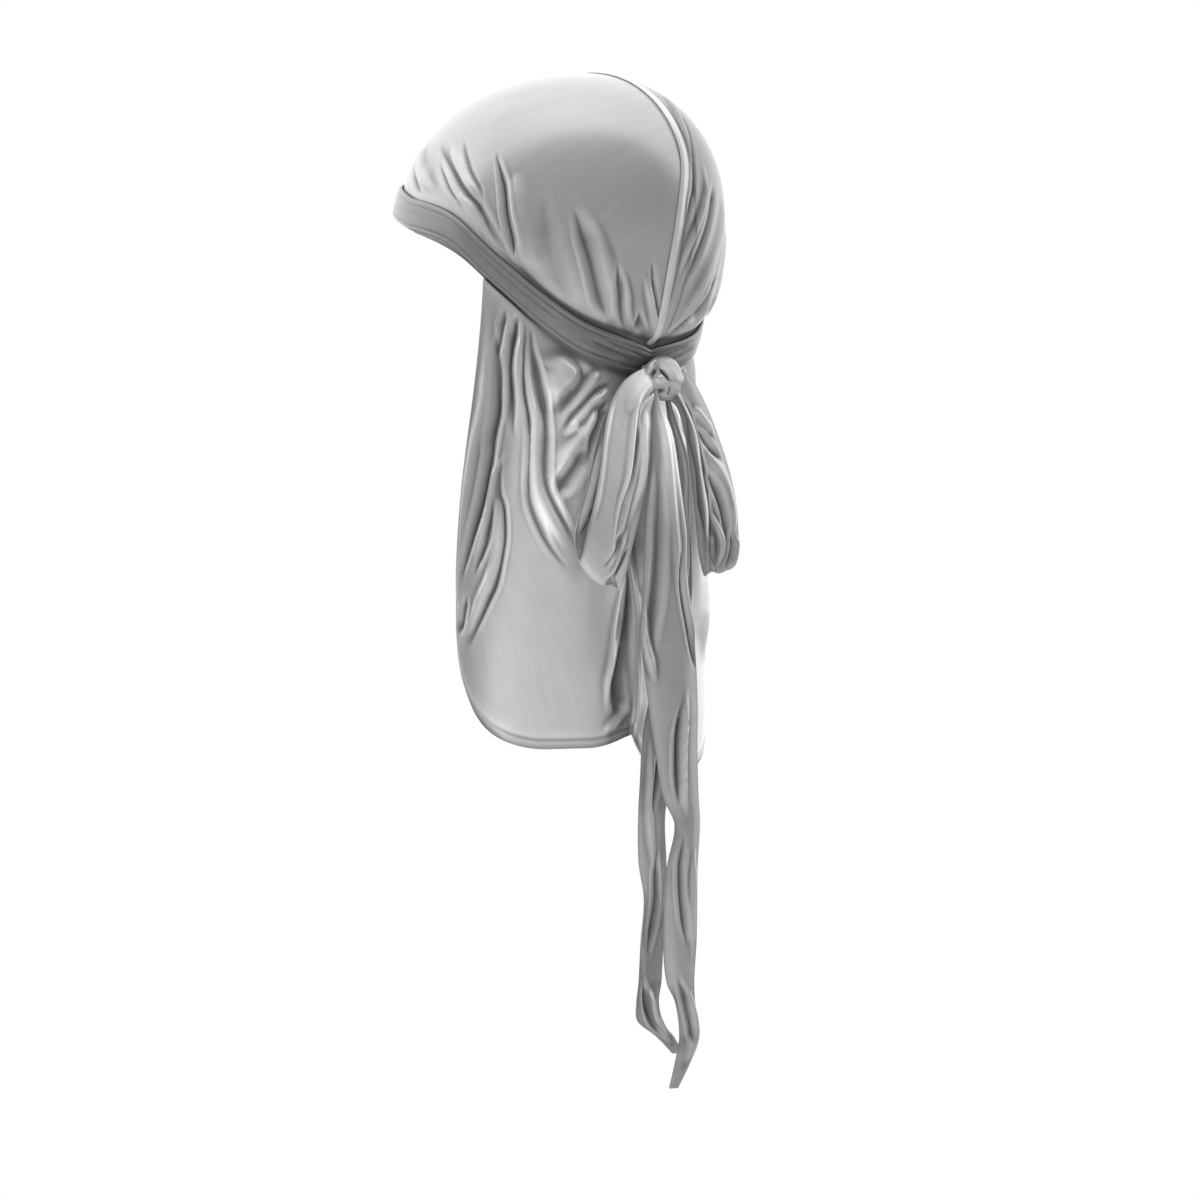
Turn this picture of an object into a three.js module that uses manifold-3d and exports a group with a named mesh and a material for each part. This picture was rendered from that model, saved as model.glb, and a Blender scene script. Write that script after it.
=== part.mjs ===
// A satin durag as it is worn: two side panels, each crown and cape in one cloth, joined by a centre seam,
// two straps that wrap from the forehead down to the nape, and a knot there with two bow loops and two tails.
// Millimetres, +Z up. The origin is the inside of the crown at its top. The face looks along -Y, so the
// wearer's left is +X. Angles go round the head in degrees: -90 is the forehead, 0 the left ear, 90 the nape
// and 180 the right ear.
import * as THREE from "three";
import { mergeVertices } from "three/addons/utils/BufferGeometryUtils.js";
import Module from "manifold-3d";

const wasm = await Module();
wasm.setup();

// Cloth and clearances
const CLOTH = 1.2;
const GAP = 0.4;
const SEAM_GAP = 0.5;

// Crown, measured to the middle of the cloth
const HEAD_FRONT = 118;
const HEAD_BACK = 87;
const HEAD_WIDE = 164;
const DOME_TALL = 78;
const LOWER_TALL = 127;
const DOME_FULL = 0.94;
const NAPE_TUCK = 11;
const PUFF = 2.5;
const PUFF_START = -10;
const PUFF_FULL = 60;
const SEAM_PULL = 75;

// Straps, and the drop of the line that they follow at the nape
const NAPE_DROP = 165;
const STRAP_WIDE = 18;
const STRAP_THICK = 1.8;
const STRAP_CROWN = 0.8;
const STRAP_FLARE = 3;
const FLARE_END = 80;
const PRESS_MARGIN = 1.5;
const BEHIND_EDGE = 25;

// Cape
const CAPE_DROP = 382;
const CAPE_WIDE = 187;
const CAPE_TUCK = 7;
const CAPE_FRONT = 2;
const CAPE_EDGE = 11;
const LEFT_CORNER = 60;
const RIGHT_CORNER = 110;
const NOTCH_TALL = 7;
const RIGHT_HANG = 22;
const LEFT_ROUND = 0.6;
const RIGHT_ROUND = 0.9;
const NOTCH_SHARE = 0.2;
const CAPE_SQUARE = 0.9;
const SPREAD_END = 0.85;
const HEM_WIDE = 5;
const HEM_THICK = 2;

// Seam strips
const SEAM_WIDE = 5;
const SEAM_THICK = 1;
const SEAM_RAISE = 0.5;

// Folds of the panels
const FOLD_WIDE = 10;
const FOLD_HIGH = 7;
const FOLD_REACH = 3;
const FOLD_FADE = 0.25;
const FOLD_POINTS = 9;

// Knot
const KNOT_WIDE = 30;
const KNOT_TALL = 27;
const KNOT_DEEP = 17;
const KNOT_CREASE = 1.6;
const KNOT_GROOVES = 4;
const KNOT_SLANT = 0.8;
const KNOT_HANG = 5;
const KNOT_SIDE = 4;

// Bow loops and tails
const TIE_THICK = 1.4;
const LOOP_DROP = 118;
const LOOP_WIDE = 31;
const LOOP_DEEP = 14;
const LEFT_LOOP_ANGLE = 78;
const RIGHT_LOOP_ANGLE = 90;
const TAIL_DROP = 397;
const TAIL_WIDE = 34;

// Mesh steps
const FRONT_COLUMNS = 16;
const BACK_COLUMNS = 22;
const CROWN_ROWS = 13;
const CAPE_ROWS = 12;
const CROWN_CROWD = 0.85;
const COLUMN_CROWD = 1.25;
const HEM_STEP = 1.3;
const SEAM_SIDE = 1.8;
const KNOT_ROUND = 22;
const KNOT_ROWS = 13;
const LOOP_STEPS = 24;
const TAIL_STEPS = 28;

// How far the tie line lies below the top, as a share of NAPE_DROP, round the left side
const TIE_LINE = [
  { angle: -90, drop: 0.36 },
  { angle: -52, drop: 0.41 },
  { angle: -20, drop: 0.485 },
  { angle: 0, drop: 0.57 },
  { angle: 17, drop: 0.715 },
  { angle: 36, drop: 0.862 },
  { angle: 55, drop: 0.945 },
  { angle: 90, drop: 1 },
];

// How far the centre seam bows to the left of the centre plane down the back, in degrees
const SEAM_BOW = [
  { level: 0, turn: 0 },
  { level: 0.5, turn: 0.5 },
  { level: 0.79, turn: 6.5 },
  { level: 1, turn: 0 },
];

// Width of the strap round the left side, as a share of STRAP_WIDE
const STRAP_SHAPE = [
  { angle: -90, wide: 0.95 },
  { angle: 0, wide: 1 },
  { angle: 60, wide: 1 },
  { angle: 90, wide: 0.8 },
];

// Folds and creases: each runs through three points of the cloth, given by angle and level, where level 0 is
// the top, 1 the tie line and 2 the hem. wide and high are shares of FOLD_WIDE and FOLD_HIGH, a crease is a
// negative high, and lean moves a fold's height to the side that lies on its left.
const CROWN_FOLDS = [
  { from: [19, 0.66], by: [20, 0.85], to: [23, 1], wide: 0.7, high: -0.75, lean: 0.5 },
  { from: [-10, 0.68], by: [3, 0.82], to: [14, 0.93], wide: 0.7, high: 0.5, lean: -0.4 },
  { from: [32, 0.78], by: [33, 0.88], to: [36, 0.98], wide: 0.8, high: -0.25, lean: 0 },
  { from: [42, 0.8], by: [49, 0.88], to: [58, 0.98], wide: 0.8, high: -0.4, lean: 0.3 },
  { from: [57, 0.8], by: [64, 0.88], to: [74, 0.98], wide: 0.7, high: 0.4, lean: 0 },
  { from: [76, 0.83], by: [80, 0.9], to: [84, 0.99], wide: 0.7, high: -0.6, lean: 0 },
  { from: [101, 0.55], by: [94, 0.76], to: [88, 0.96], wide: 0.8, high: 0.35, lean: 0.3 },
  { from: [118, 0.86], by: [107, 0.92], to: [97, 0.99], wide: 0.8, high: -0.6, lean: 0 },
  { from: [130, 0.8], by: [122, 0.88], to: [112, 0.98], wide: 0.8, high: 0.4, lean: 0 },
  { from: [147, 0.8], by: [141, 0.89], to: [133, 0.98], wide: 0.9, high: -0.4, lean: 0 },
  { from: [163, 0.68], by: [161, 0.85], to: [158, 1], wide: 0.7, high: -0.7, lean: -0.4 },
  { from: [192, 0.7], by: [180, 0.82], to: [168, 0.93], wide: 0.7, high: 0.5, lean: 0.3 },
];
const CAPE_FOLDS = [
  { from: [14, 1.02], by: [14, 1.4], to: [13, 1.85], wide: 0.7, high: 0.5, lean: 0 },
  { from: [19, 1], by: [21, 1.33], to: [19, 1.75], wide: 0.8, high: -0.75, lean: 0 },
  { from: [25, 1.02], by: [26, 1.18], to: [28, 1.4], wide: 0.6, high: 0.45, lean: 0 },
  { from: [28, 1.02], by: [35, 1.3], to: [60, 1.54], wide: 0.9, high: 0.85, lean: 0.6 },
  { from: [36, 1.04], by: [44, 1.27], to: [58, 1.44], wide: 1.3, high: -0.7, lean: 0 },
  { from: [44, 1.06], by: [46, 1.11], to: [48, 1.17], wide: 1.2, high: 0.6, lean: 0 },
  { from: [70, 1.08], by: [60, 1.17], to: [49, 1.27], wide: 0.6, high: 0.5, lean: 0 },
  { from: [27, 1.4], by: [33, 1.56], to: [25, 1.84], wide: 0.7, high: -0.45, lean: 0 },
  { from: [90, 1.08], by: [90, 1.5], to: [90, 2], wide: 1.6, high: -0.9, lean: 0 },
  { from: [108, 1.1], by: [112, 1.4], to: [114, 1.8], wide: 1.1, high: 0.5, lean: 0 },
  { from: [125, 1.04], by: [126, 1.3], to: [123, 1.6], wide: 1.1, high: -0.6, lean: 0 },
  { from: [118, 1], by: [138, 1.07], to: [156, 1.03], wide: 1.8, high: -1, lean: 0 },
  { from: [141, 1.3], by: [138, 1.56], to: [136, 1.78], wide: 1.2, high: 0.7, lean: 0 },
  { from: [158, 1], by: [157, 1.35], to: [159, 1.8], wide: 0.8, high: -0.7, lean: 0 },
];

// The loops from the knot, down and back behind. side and wide are shares of LOOP_WIDE, out of LOOP_DEEP and
// drop of LOOP_DROP. lean turns the width up from level, in degrees.
const LEFT_LOOP = [
  { at: 0, side: 0.1, out: 0.1, drop: 0.01, wide: 0.34, lean: 75 },
  { at: 0.06, side: 0.42, out: 0.16, drop: 0.02, wide: 0.52, lean: 62 },
  { at: 0.13, side: 0.8, out: 0.2, drop: 0.11, wide: 0.8, lean: 40 },
  { at: 0.22, side: 1.02, out: 0.22, drop: 0.27, wide: 0.97, lean: 14 },
  { at: 0.34, side: 1.08, out: 0.22, drop: 0.55, wide: 1, lean: 3 },
  { at: 0.45, side: 1.19, out: 0.2, drop: 0.86, wide: 0.9, lean: -3 },
  { at: 0.5, side: 1.22, out: -0.12, drop: 1, wide: 0.86, lean: -4 },
  { at: 0.55, side: 1.2, out: -0.45, drop: 0.86, wide: 0.9, lean: -3 },
  { at: 0.7, side: 1.07, out: -0.5, drop: 0.5, wide: 0.9, lean: 3 },
  { at: 0.84, side: 0.9, out: -0.4, drop: 0.22, wide: 0.72, lean: 20 },
  { at: 0.93, side: 0.5, out: -0.3, drop: 0.07, wide: 0.5, lean: 45 },
  { at: 1, side: 0.1, out: -0.2, drop: 0.05, wide: 0.3, lean: 60 },
];
const RIGHT_LOOP = [
  { at: 0, side: 0.1, out: 0.1, drop: 0.01, wide: 0.34, lean: 75 },
  { at: 0.06, side: 0.36, out: 0.2, drop: 0.02, wide: 0.46, lean: 66 },
  { at: 0.14, side: 0.62, out: 0.3, drop: 0.12, wide: 0.6, lean: 56 },
  { at: 0.24, side: 0.93, out: 0.36, drop: 0.31, wide: 0.75, lean: 34 },
  { at: 0.34, side: 1.19, out: 0.4, drop: 0.54, wide: 0.9, lean: 18 },
  { at: 0.45, side: 1.34, out: 0.4, drop: 0.82, wide: 0.85, lean: 6 },
  { at: 0.5, side: 1.37, out: 0.2, drop: 0.93, wide: 0.8, lean: 0 },
  { at: 0.55, side: 1.37, out: -0.02, drop: 0.82, wide: 0.85, lean: 6 },
  { at: 0.68, side: 1.24, out: -0.06, drop: 0.52, wide: 0.85, lean: 16 },
  { at: 0.82, side: 0.96, out: -0.06, drop: 0.27, wide: 0.7, lean: 34 },
  { at: 0.92, side: 0.56, out: -0.1, drop: 0.09, wide: 0.45, lean: 56 },
  { at: 1, side: 0.1, out: -0.1, drop: 0.05, wide: 0.3, lean: 66 },
];

// The tails from the knot down. drop is a share of TAIL_DROP, side, wide and curl of TAIL_WIDE and out of
// KNOT_DEEP. turn is the way that the cloth faces, in degrees, and curl is how far its middle stands out.
const LEFT_TAIL = [
  { drop: 0.005, side: 0, out: 0.1, wide: 0.25, turn: 80, curl: 0.05 },
  { drop: 0.045, side: 0.1, out: 0.24, wide: 0.3, turn: 78, curl: 0.12 },
  { drop: 0.1, side: 0.17, out: 0.36, wide: 0.46, turn: 76, curl: 0.2 },
  { drop: 0.18, side: 0.22, out: 0.5, wide: 0.62, turn: 74, curl: 0.16 },
  { drop: 0.28, side: 0.25, out: 0.64, wide: 0.82, turn: 74, curl: 0.1 },
  { drop: 0.36, side: 0.17, out: 0.58, wide: 1, turn: 74, curl: 0.1 },
  { drop: 0.46, side: -0.01, out: 0.52, wide: 0.92, turn: 74, curl: 0.14 },
  { drop: 0.52, side: -0.08, out: 0.5, wide: 0.8, turn: 74, curl: 0.12 },
  { drop: 0.59, side: -0.19, out: 0.5, wide: 0.66, turn: 74, curl: 0.1 },
  { drop: 0.63, side: -0.34, out: 0.5, wide: 0.46, turn: 72, curl: 0.1 },
  { drop: 0.69, side: -0.22, out: 0.5, wide: 0.56, turn: 72, curl: 0.1 },
  { drop: 0.79, side: -0.17, out: 0.5, wide: 0.6, turn: 70, curl: 0.12 },
  { drop: 0.85, side: -0.19, out: 0.46, wide: 0.48, turn: 66, curl: 0.1 },
  { drop: 0.88, side: -0.31, out: 0.42, wide: 0.33, turn: 62, curl: 0.06 },
  { drop: 0.93, side: -0.41, out: 0.4, wide: 0.31, turn: 58, curl: 0.06 },
  { drop: 0.965, side: -0.26, out: 0.4, wide: 0.25, turn: 58, curl: 0.04 },
  { drop: 1, side: -0.04, out: 0.4, wide: 0.14, turn: 60, curl: 0.03 },
];
const RIGHT_TAIL = [
  { drop: 0.005, side: -0.14, out: -0.18, wide: 0.2, turn: 90, curl: 0.03 },
  { drop: 0.05, side: -0.36, out: -0.34, wide: 0.26, turn: 90, curl: 0.05 },
  { drop: 0.1, side: -0.54, out: -0.36, wide: 0.34, turn: 90, curl: 0.06 },
  { drop: 0.17, side: -0.6, out: -0.36, wide: 0.45, turn: 90, curl: 0.06 },
  { drop: 0.28, side: -0.6, out: -0.34, wide: 0.55, turn: 88, curl: 0.06 },
  { drop: 0.39, side: -0.4, out: -0.26, wide: 0.62, turn: 84, curl: 0.06 },
  { drop: 0.5, side: 0, out: -0.16, wide: 0.62, turn: 78, curl: 0.06 },
  { drop: 0.57, side: 0.11, out: -0.14, wide: 0.56, turn: 74, curl: 0.06 },
  { drop: 0.62, side: 0.19, out: -0.14, wide: 0.49, turn: 72, curl: 0.06 },
  { drop: 0.68, side: 0.12, out: -0.24, wide: 0.5, turn: 70, curl: 0.06 },
  { drop: 0.735, side: 0.01, out: -0.32, wide: 0.42, turn: 70, curl: 0.04 },
  { drop: 0.79, side: 0.11, out: -0.3, wide: 0.42, turn: 74, curl: -0.04 },
  { drop: 0.85, side: 0.23, out: -0.2, wide: 0.45, turn: 80, curl: -0.08 },
  { drop: 0.88, side: 0.32, out: -0.12, wide: 0.42, turn: 76, curl: -0.06 },
  { drop: 0.905, side: 0.26, out: -0.1, wide: 0.44, turn: 70, curl: -0.04 },
  { drop: 0.93, side: -0.1, out: -0.1, wide: 0.3, turn: 66, curl: -0.02 },
  { drop: 0.955, side: -0.4, out: -0.1, wide: 0.2, turn: 62, curl: 0 },
];

// Lift of a loop's cloth across its width, from its inner edge to its outer one, as shares of LOOP_DEEP
const LOOP_ACROSS = [
  { at: -1, lift: 0.05 },
  { at: -0.6, lift: -0.2 },
  { at: -0.1, lift: 0.04 },
  { at: 0.5, lift: 0.08 },
  { at: 1, lift: 0 },
];
const TAIL_ACROSS = [-1, -0.5, 0, 0.5, 1];

const HALF_LONG = (HEAD_FRONT + HEAD_BACK) / 2;
const MIDDLE_Y = (HEAD_BACK - HEAD_FRONT) / 2;
const UNDER_STRAP = STRAP_WIDE / 2 + PRESS_MARGIN;
const STRAP_LIFT = CLOTH / 2 + GAP + STRAP_THICK / 2;

const radians = THREE.MathUtils.degToRad;
const { clamp, lerp, smoothstep } = THREE.MathUtils;

// A smooth value from a table's rows, by a rising key.
function along(rows, key, column, at) {
  let i = 0;
  while (i < rows.length - 2 && rows[i + 1][key] < at) i++;
  const a = rows[i];
  const b = rows[i + 1];
  const before = rows[Math.max(i - 1, 0)];
  const after = rows[Math.min(i + 2, rows.length - 1)];
  const span = b[key] - a[key];
  const t = clamp((at - a[key]) / span, 0, 1);
  const slopeA = ((b[column] - before[column]) / (b[key] - before[key])) * span;
  const slopeB = ((after[column] - a[column]) / (after[key] - a[key])) * span;
  const t2 = t * t;
  const t3 = t2 * t;
  return (
    (2 * t3 - 3 * t2 + 1) * a[column] +
    (t3 - 2 * t2 + t) * slopeA +
    (3 * t2 - 2 * t3) * b[column] +
    (t3 - t2) * slopeB
  );
}

// The angle on the left side that lies across from one on the right.
const leftAngle = (angle) => (angle > 90 ? 180 - angle : angle);

const tieDrop = (angle) => NAPE_DROP * along(TIE_LINE, "angle", "drop", leftAngle(angle));

// The turn down from the top of the head at which its surface is a given drop below the top.
function latitudeAt(drop) {
  return drop < DOME_TALL ? Math.acos(1 - drop / DOME_TALL) : Math.acos((DOME_TALL - drop) / LOWER_TALL);
}

// A point of the smooth head under the cloth's folds.
function headPoint(angle, latitude) {
  const down = Math.cos(latitude);
  const lower = down < 0;
  const ring = lower ? Math.sin(latitude) : Math.sin(latitude) ** DOME_FULL;
  const drop = lower ? DOME_TALL - LOWER_TALL * down : DOME_TALL * (1 - down);
  const middle = lower ? MIDDLE_Y : MIDDLE_Y * ring;
  const back = Math.max(0, Math.sin(radians(angle)));
  const below = Math.max(0, (drop - DOME_TALL) / (NAPE_DROP - DOME_TALL));
  return new THREE.Vector3(
    (HEAD_WIDE / 2) * ring * Math.cos(radians(angle)),
    middle + HALF_LONG * ring * Math.sin(radians(angle)) - NAPE_TUCK * below * below * back * back,
    CLOTH / 2 - drop,
  );
}

// How far round the cape a column is, from its front edge to the centre seam.
const capeShare = (angle) => Math.max(0, (leftAngle(angle) - CAPE_EDGE) / (90 - CAPE_EDGE));

// How far the hem lies below the top, with the round front corner and the notch at the centre seam. The right
// half hangs lower than the left one behind, and is rounded more in front.
function hemDrop(angle) {
  const share = capeShare(angle);
  const right = angle > 90;
  const corner = Math.max(0, 1 - share / (right ? RIGHT_ROUND : LEFT_ROUND));
  const rise = (right ? RIGHT_CORNER : LEFT_CORNER) * (1 - Math.sqrt(1 - corner * corner));
  const notch = Math.max(0, 1 - (1 - share) / NOTCH_SHARE) ** 2;
  const hang = right ? RIGHT_HANG * (1 - notch) : 0;
  return CAPE_DROP + hang - rise - NOTCH_TALL * notch;
}

const NAPE = headPoint(90, latitudeAt(NAPE_DROP));

// The angle of a point of the crown once its column has followed the centre seam to the side.
function seamTurned(angle, level) {
  const share = clamp(1 - Math.abs(angle - 90) / SEAM_PULL, 0, 1);
  return angle - along(SEAM_BOW, "level", "turn", level) * smoothstep(share, 0, 1);
}

// A point of the smooth sheet: level 0 is the top, 1 the tie line and 2 the hem.
function basePoint(angle, level) {
  const rim = latitudeAt(tieDrop(angle));
  if (level <= 1) return headPoint(seamTurned(angle, level), rim * level);
  const top = headPoint(angle, rim);
  const turn = radians(capeShare(angle) * 90);
  const side = angle > 90 ? -1 : 1;
  const spread = smoothstep(level - 1, 0, SPREAD_END);
  const hemX = (side * CAPE_WIDE * Math.cos(turn) ** CAPE_SQUARE) / 2;
  const hemY = -CAPE_FRONT + (NAPE.y - CAPE_TUCK + CAPE_FRONT) * Math.sin(turn) ** CAPE_SQUARE;
  return new THREE.Vector3(
    lerp(top.x, hemX, spread),
    lerp(top.y, hemY, spread),
    lerp(top.z, CLOTH / 2 - hemDrop(angle), level - 1),
  );
}

// The way that the smooth sheet faces.
function baseNormal(angle, level) {
  const side = Math.min(level, 1.99);
  const step = 0.01;
  const round = basePoint(angle + 0.5, side).sub(basePoint(angle - 0.5, side));
  const down = basePoint(angle, side + step).sub(basePoint(angle, Math.max(side - step, 0)));
  return down.cross(round).normalize();
}

// The level that lies a distance past the tie line, and the distance at a level.
const reachAt = (angle, above) => (above ? latitudeAt(tieDrop(angle)) * HALF_LONG : hemDrop(angle) - tieDrop(angle));
const levelPast = (angle, distance) => 1 + distance / reachAt(angle, distance < 0);
const distancePast = (angle, level) => (level - 1) * reachAt(angle, level < 1);

// Each fold's line on the smooth sheet.
const FOLDS = [...CROWN_FOLDS, ...CAPE_FOLDS].map((fold) => {
  const line = Array.from({ length: FOLD_POINTS }, (_, i) => {
    const t = i / (FOLD_POINTS - 1);
    const weights = [(1 - t) * (1 - 2 * t), 4 * t * (1 - t), t * (2 * t - 1)];
    const at = (k) => weights[0] * fold.from[k] + weights[1] * fold.by[k] + weights[2] * fold.to[k];
    return basePoint(at(0), at(1));
  });
  return { ...fold, line };
});

// How far a fold lifts a point of the smooth sheet that faces along a normal.
function foldLift(fold, point, normal) {
  const near = new THREE.Vector3();
  const piece = new THREE.Line3();
  let best = { distance: Infinity };
  for (let i = 0; i + 1 < fold.line.length; i++) {
    piece.set(fold.line[i], fold.line[i + 1]);
    const t = piece.closestPointToPointParameter(point, true);
    piece.at(t, near);
    const distance = near.distanceTo(point);
    if (distance >= best.distance) continue;
    const way = piece.delta(new THREE.Vector3()).cross(normal);
    const side = Math.sign(point.clone().sub(near).dot(way));
    best = { distance, side, share: (i + t) / (fold.line.length - 1) };
  }
  const width = fold.wide * FOLD_WIDE;
  if (best.distance > FOLD_REACH * width) return 0;
  const across = (best.side * best.distance) / width;
  const fade = smoothstep(Math.min(best.share, 1 - best.share), -0.05, FOLD_FADE);
  return fold.high * FOLD_HIGH * fade * (1 + fold.lean * across) * Math.exp(-across * across);
}

// The crown swells a little above the strap, most at the back.
function puffLift(angle, level) {
  const past = (-distancePast(angle, level) - UNDER_STRAP) / UNDER_STRAP;
  if (level > 1 || past < 0) return 0;
  return PUFF * smoothstep(leftAngle(angle), PUFF_START, PUFF_FULL) * past * Math.exp(1 - past);
}

// A point of the cloth with its folds, which the strap presses flat.
function clothPoint(angle, level) {
  const point = basePoint(angle, level);
  const normal = baseNormal(angle, level);
  const clear = smoothstep(Math.abs(distancePast(angle, level)), UNDER_STRAP, 2 * UNDER_STRAP);
  const folds = FOLDS.reduce((sum, fold) => sum + foldLift(fold, point, normal), 0);
  return point.addScaledVector(normal, folds * clear + puffLift(angle, level));
}

// The way that the folded cloth faces.
function clothNormal(angle, level) {
  const step = 0.01;
  const at = Math.min(level, 2 - step);
  const round = clothPoint(angle + 1, at).sub(clothPoint(angle - 1, at));
  const down = clothPoint(angle, at + step).sub(clothPoint(angle, at - step));
  return down.cross(round).normalize();
}

// The cloth under the strap's two edges, between which it lies straight.
function strapEdges(angle) {
  const rim = latitudeAt(tieDrop(angle));
  const upper = basePoint(angle, levelPast(angle, -UNDER_STRAP));
  const lower = headPoint(angle, rim + UNDER_STRAP / HALF_LONG);
  if (leftAngle(angle) <= CAPE_EDGE) return [upper, lower];
  const cape = basePoint(angle, levelPast(angle, UNDER_STRAP));
  return [upper, lower.lerp(cape, smoothstep(leftAngle(angle), CAPE_EDGE, CAPE_EDGE + BEHIND_EDGE))];
}

const group = new THREE.Group();

function vertexNormals(points, triangles) {
  const normals = points.map(() => new THREE.Vector3());
  for (const [a, b, c] of triangles) {
    const n = new THREE.Vector3()
      .subVectors(points[b], points[a])
      .cross(new THREE.Vector3().subVectors(points[c], points[a]));
    for (const k of [a, b, c]) normals[k].add(n);
  }
  return normals.map((n) => n.normalize());
}

// A closed solid from an open sheet of triangles: both faces, half the thickness away, and the rim.
function thicken(points, triangles, thicknessOf, normals = vertexNormals(points, triangles)) {
  const count = points.length;
  const outer = points.map((p, i) => p.clone().addScaledVector(normals[i], thicknessOf(i) / 2));
  const inner = points.map((p, i) => p.clone().addScaledVector(normals[i], -thicknessOf(i) / 2));
  const index = [];
  const edges = new Map();
  for (const [a, b, c] of triangles) {
    index.push(a, b, c, a + count, c + count, b + count);
    for (const [p, q] of [[a, b], [b, c], [c, a]]) {
      if (edges.has(q + "," + p)) edges.delete(q + "," + p);
      else edges.set(p + "," + q, [p, q]);
    }
  }
  for (const [p, q] of edges.values()) index.push(q, p, p + count, q, p + count, q + count);
  const geometry = new THREE.BufferGeometry();
  geometry.setFromPoints([...outer, ...inner]);
  geometry.setIndex(index);
  return geometry;
}

// A solid from rows of points, each row across the sheet, with the outer face where the normals point. The
// normals of whole rows can be given.
function sheetFrom(rows, thickness, rowNormals = new Map()) {
  const across = rows[0].length;
  const triangles = [];
  for (let i = 0; i + 1 < rows.length; i++)
    for (let j = 0; j + 1 < across; j++) {
      const a = i * across + j;
      const b = a + across;
      triangles.push([a, b, a + 1], [a + 1, b, b + 1]);
    }
  const points = rows.flat();
  const normals = vertexNormals(points, triangles);
  for (const [row, normal] of rowNormals)
    for (let j = 0; j < across; j++) normals[row * across + j].copy(normal);
  return thicken(points, triangles, () => thickness, normals);
}

function toManifold(geometry) {
  const bare = geometry.clone();
  bare.deleteAttribute("normal");
  bare.deleteAttribute("uv");
  const merged = mergeVertices(bare, 1e-4);
  return new wasm.Manifold(
    new wasm.Mesh({
      numProp: 3,
      vertProperties: merged.attributes.position.array,
      triVerts: new Uint32Array(merged.index.array),
    }),
  );
}

function fromManifold(solid) {
  const { vertProperties, triVerts } = solid.getMesh();
  const geometry = new THREE.BufferGeometry();
  geometry.setAttribute("position", new THREE.BufferAttribute(vertProperties, 3));
  geometry.setIndex(new THREE.BufferAttribute(triVerts, 1));
  return geometry;
}

const SATIN = { color: 0xa9a9a9, roughness: 0.42, metalness: 0 };

function addNode(name, geometry) {
  const mesh = new THREE.Mesh(geometry, new THREE.MeshStandardMaterial(SATIN));
  mesh.name = name;
  group.add(mesh);
}

// The panels' columns, from the forehead to the nape on the left, closer together at the cape's front edge.
const COLUMNS = [
  ...Array.from({ length: FRONT_COLUMNS }, (_, i) => -90 + ((CAPE_EDGE + 90) * i) / FRONT_COLUMNS),
  ...Array.from({ length: BACK_COLUMNS }, (_, i) => CAPE_EDGE + (90 - CAPE_EDGE) * (i / BACK_COLUMNS) ** COLUMN_CROWD),
  90 - SEAM_SIDE,
  90,
];

// The levels of one column's rows: even ones, closer together beside the strap and at the hem.
function crownLevels(angle) {
  const near = levelPast(angle, -UNDER_STRAP);
  const above = levelPast(angle, -2 * UNDER_STRAP);
  const even = Array.from({ length: CROWN_ROWS }, (_, j) => above * (j / (CROWN_ROWS - 1)) ** CROWN_CROWD);
  return [...even, (above + near) / 2, near];
}
function capeLevels(angle) {
  const near = levelPast(angle, UNDER_STRAP);
  const hem = 2 - HEM_WIDE / reachAt(angle, false);
  const last = 2 - (HEM_STEP * HEM_WIDE) / reachAt(angle, false);
  return [...Array.from({ length: CAPE_ROWS }, (_, j) => lerp(near, last, j / (CAPE_ROWS - 1))), hem, 2];
}

function panel(side) {
  const points = [clothPoint(0, 0)];
  const hems = new Set();
  const seamNormals = new Map([[0, new THREE.Vector3(0, 0, 1)]]);
  const ids = [];
  const put = (point) => points.push(point) - 1;
  COLUMNS.forEach((column, i) => {
    const angle = side > 0 ? column : 180 - column;
    const [upper, lower] = strapEdges(angle);
    const crown = crownLevels(angle).slice(1, -1);
    const cape = i < FRONT_COLUMNS ? [] : capeLevels(angle);
    const column_ids = [0, ...crown.map((level) => put(clothPoint(angle, level)))];
    column_ids.push(put(upper), put(upper.clone().lerp(lower, 0.5)));
    cape.forEach((level, j) => {
      column_ids.push(put(j === 0 ? lower : clothPoint(angle, level)));
      if (j > CAPE_ROWS - 1) hems.add(points.length - 1);
    });
    ids.push(column_ids);
    if (Math.abs(column) !== 90) return;
    const underStrap = centreOut(column);
    const seam = [...crown.map((level) => clothNormal(column, level)), underStrap, underStrap];
    seam.push(...cape.map((level, j) => (j ? clothNormal(column, level) : underStrap)));
    seam.forEach((normal, j) => seamNormals.set(column_ids[j + 1], normal));
  });
  const triangles = [];
  const face = (a, b, c) => triangles.push(side > 0 ? [a, b, c] : [a, c, b]);
  for (let i = 0; i + 1 < ids.length; i++) {
    const rows = Math.min(ids[i].length, ids[i + 1].length);
    for (let j = 0; j + 1 < rows; j++) {
      face(ids[i][j], ids[i][j + 1], ids[i + 1][j + 1]);
      if (j > 0) face(ids[i][j], ids[i + 1][j + 1], ids[i + 1][j]);
    }
  }
  const normals = vertexNormals(points, triangles);
  for (const [k, normal] of seamNormals) normals[k].copy(normal);
  const geometry = thicken(points, triangles, (k) => (hems.has(k) ? HEM_THICK : CLOTH), normals);
  geometry.translate((side * SEAM_GAP) / 2, 0, 0);
  return geometry;
}

addNode("left_panel", panel(1));
addNode("right_panel", panel(-1));

// Middle of the cloth under the strap, and the ways along its width and out from it.
function strapFrame(angle) {
  const middle = (at) => {
    const [upper, lower] = strapEdges(at);
    return upper.lerp(lower, 0.5);
  };
  const [upper, lower] = strapEdges(angle);
  const up = upper.sub(lower).normalize();
  const round = middle(angle + 1).sub(middle(angle - 1));
  const out = round.cross(up).normalize();
  return { middle: middle(angle), up, out };
}

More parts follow.
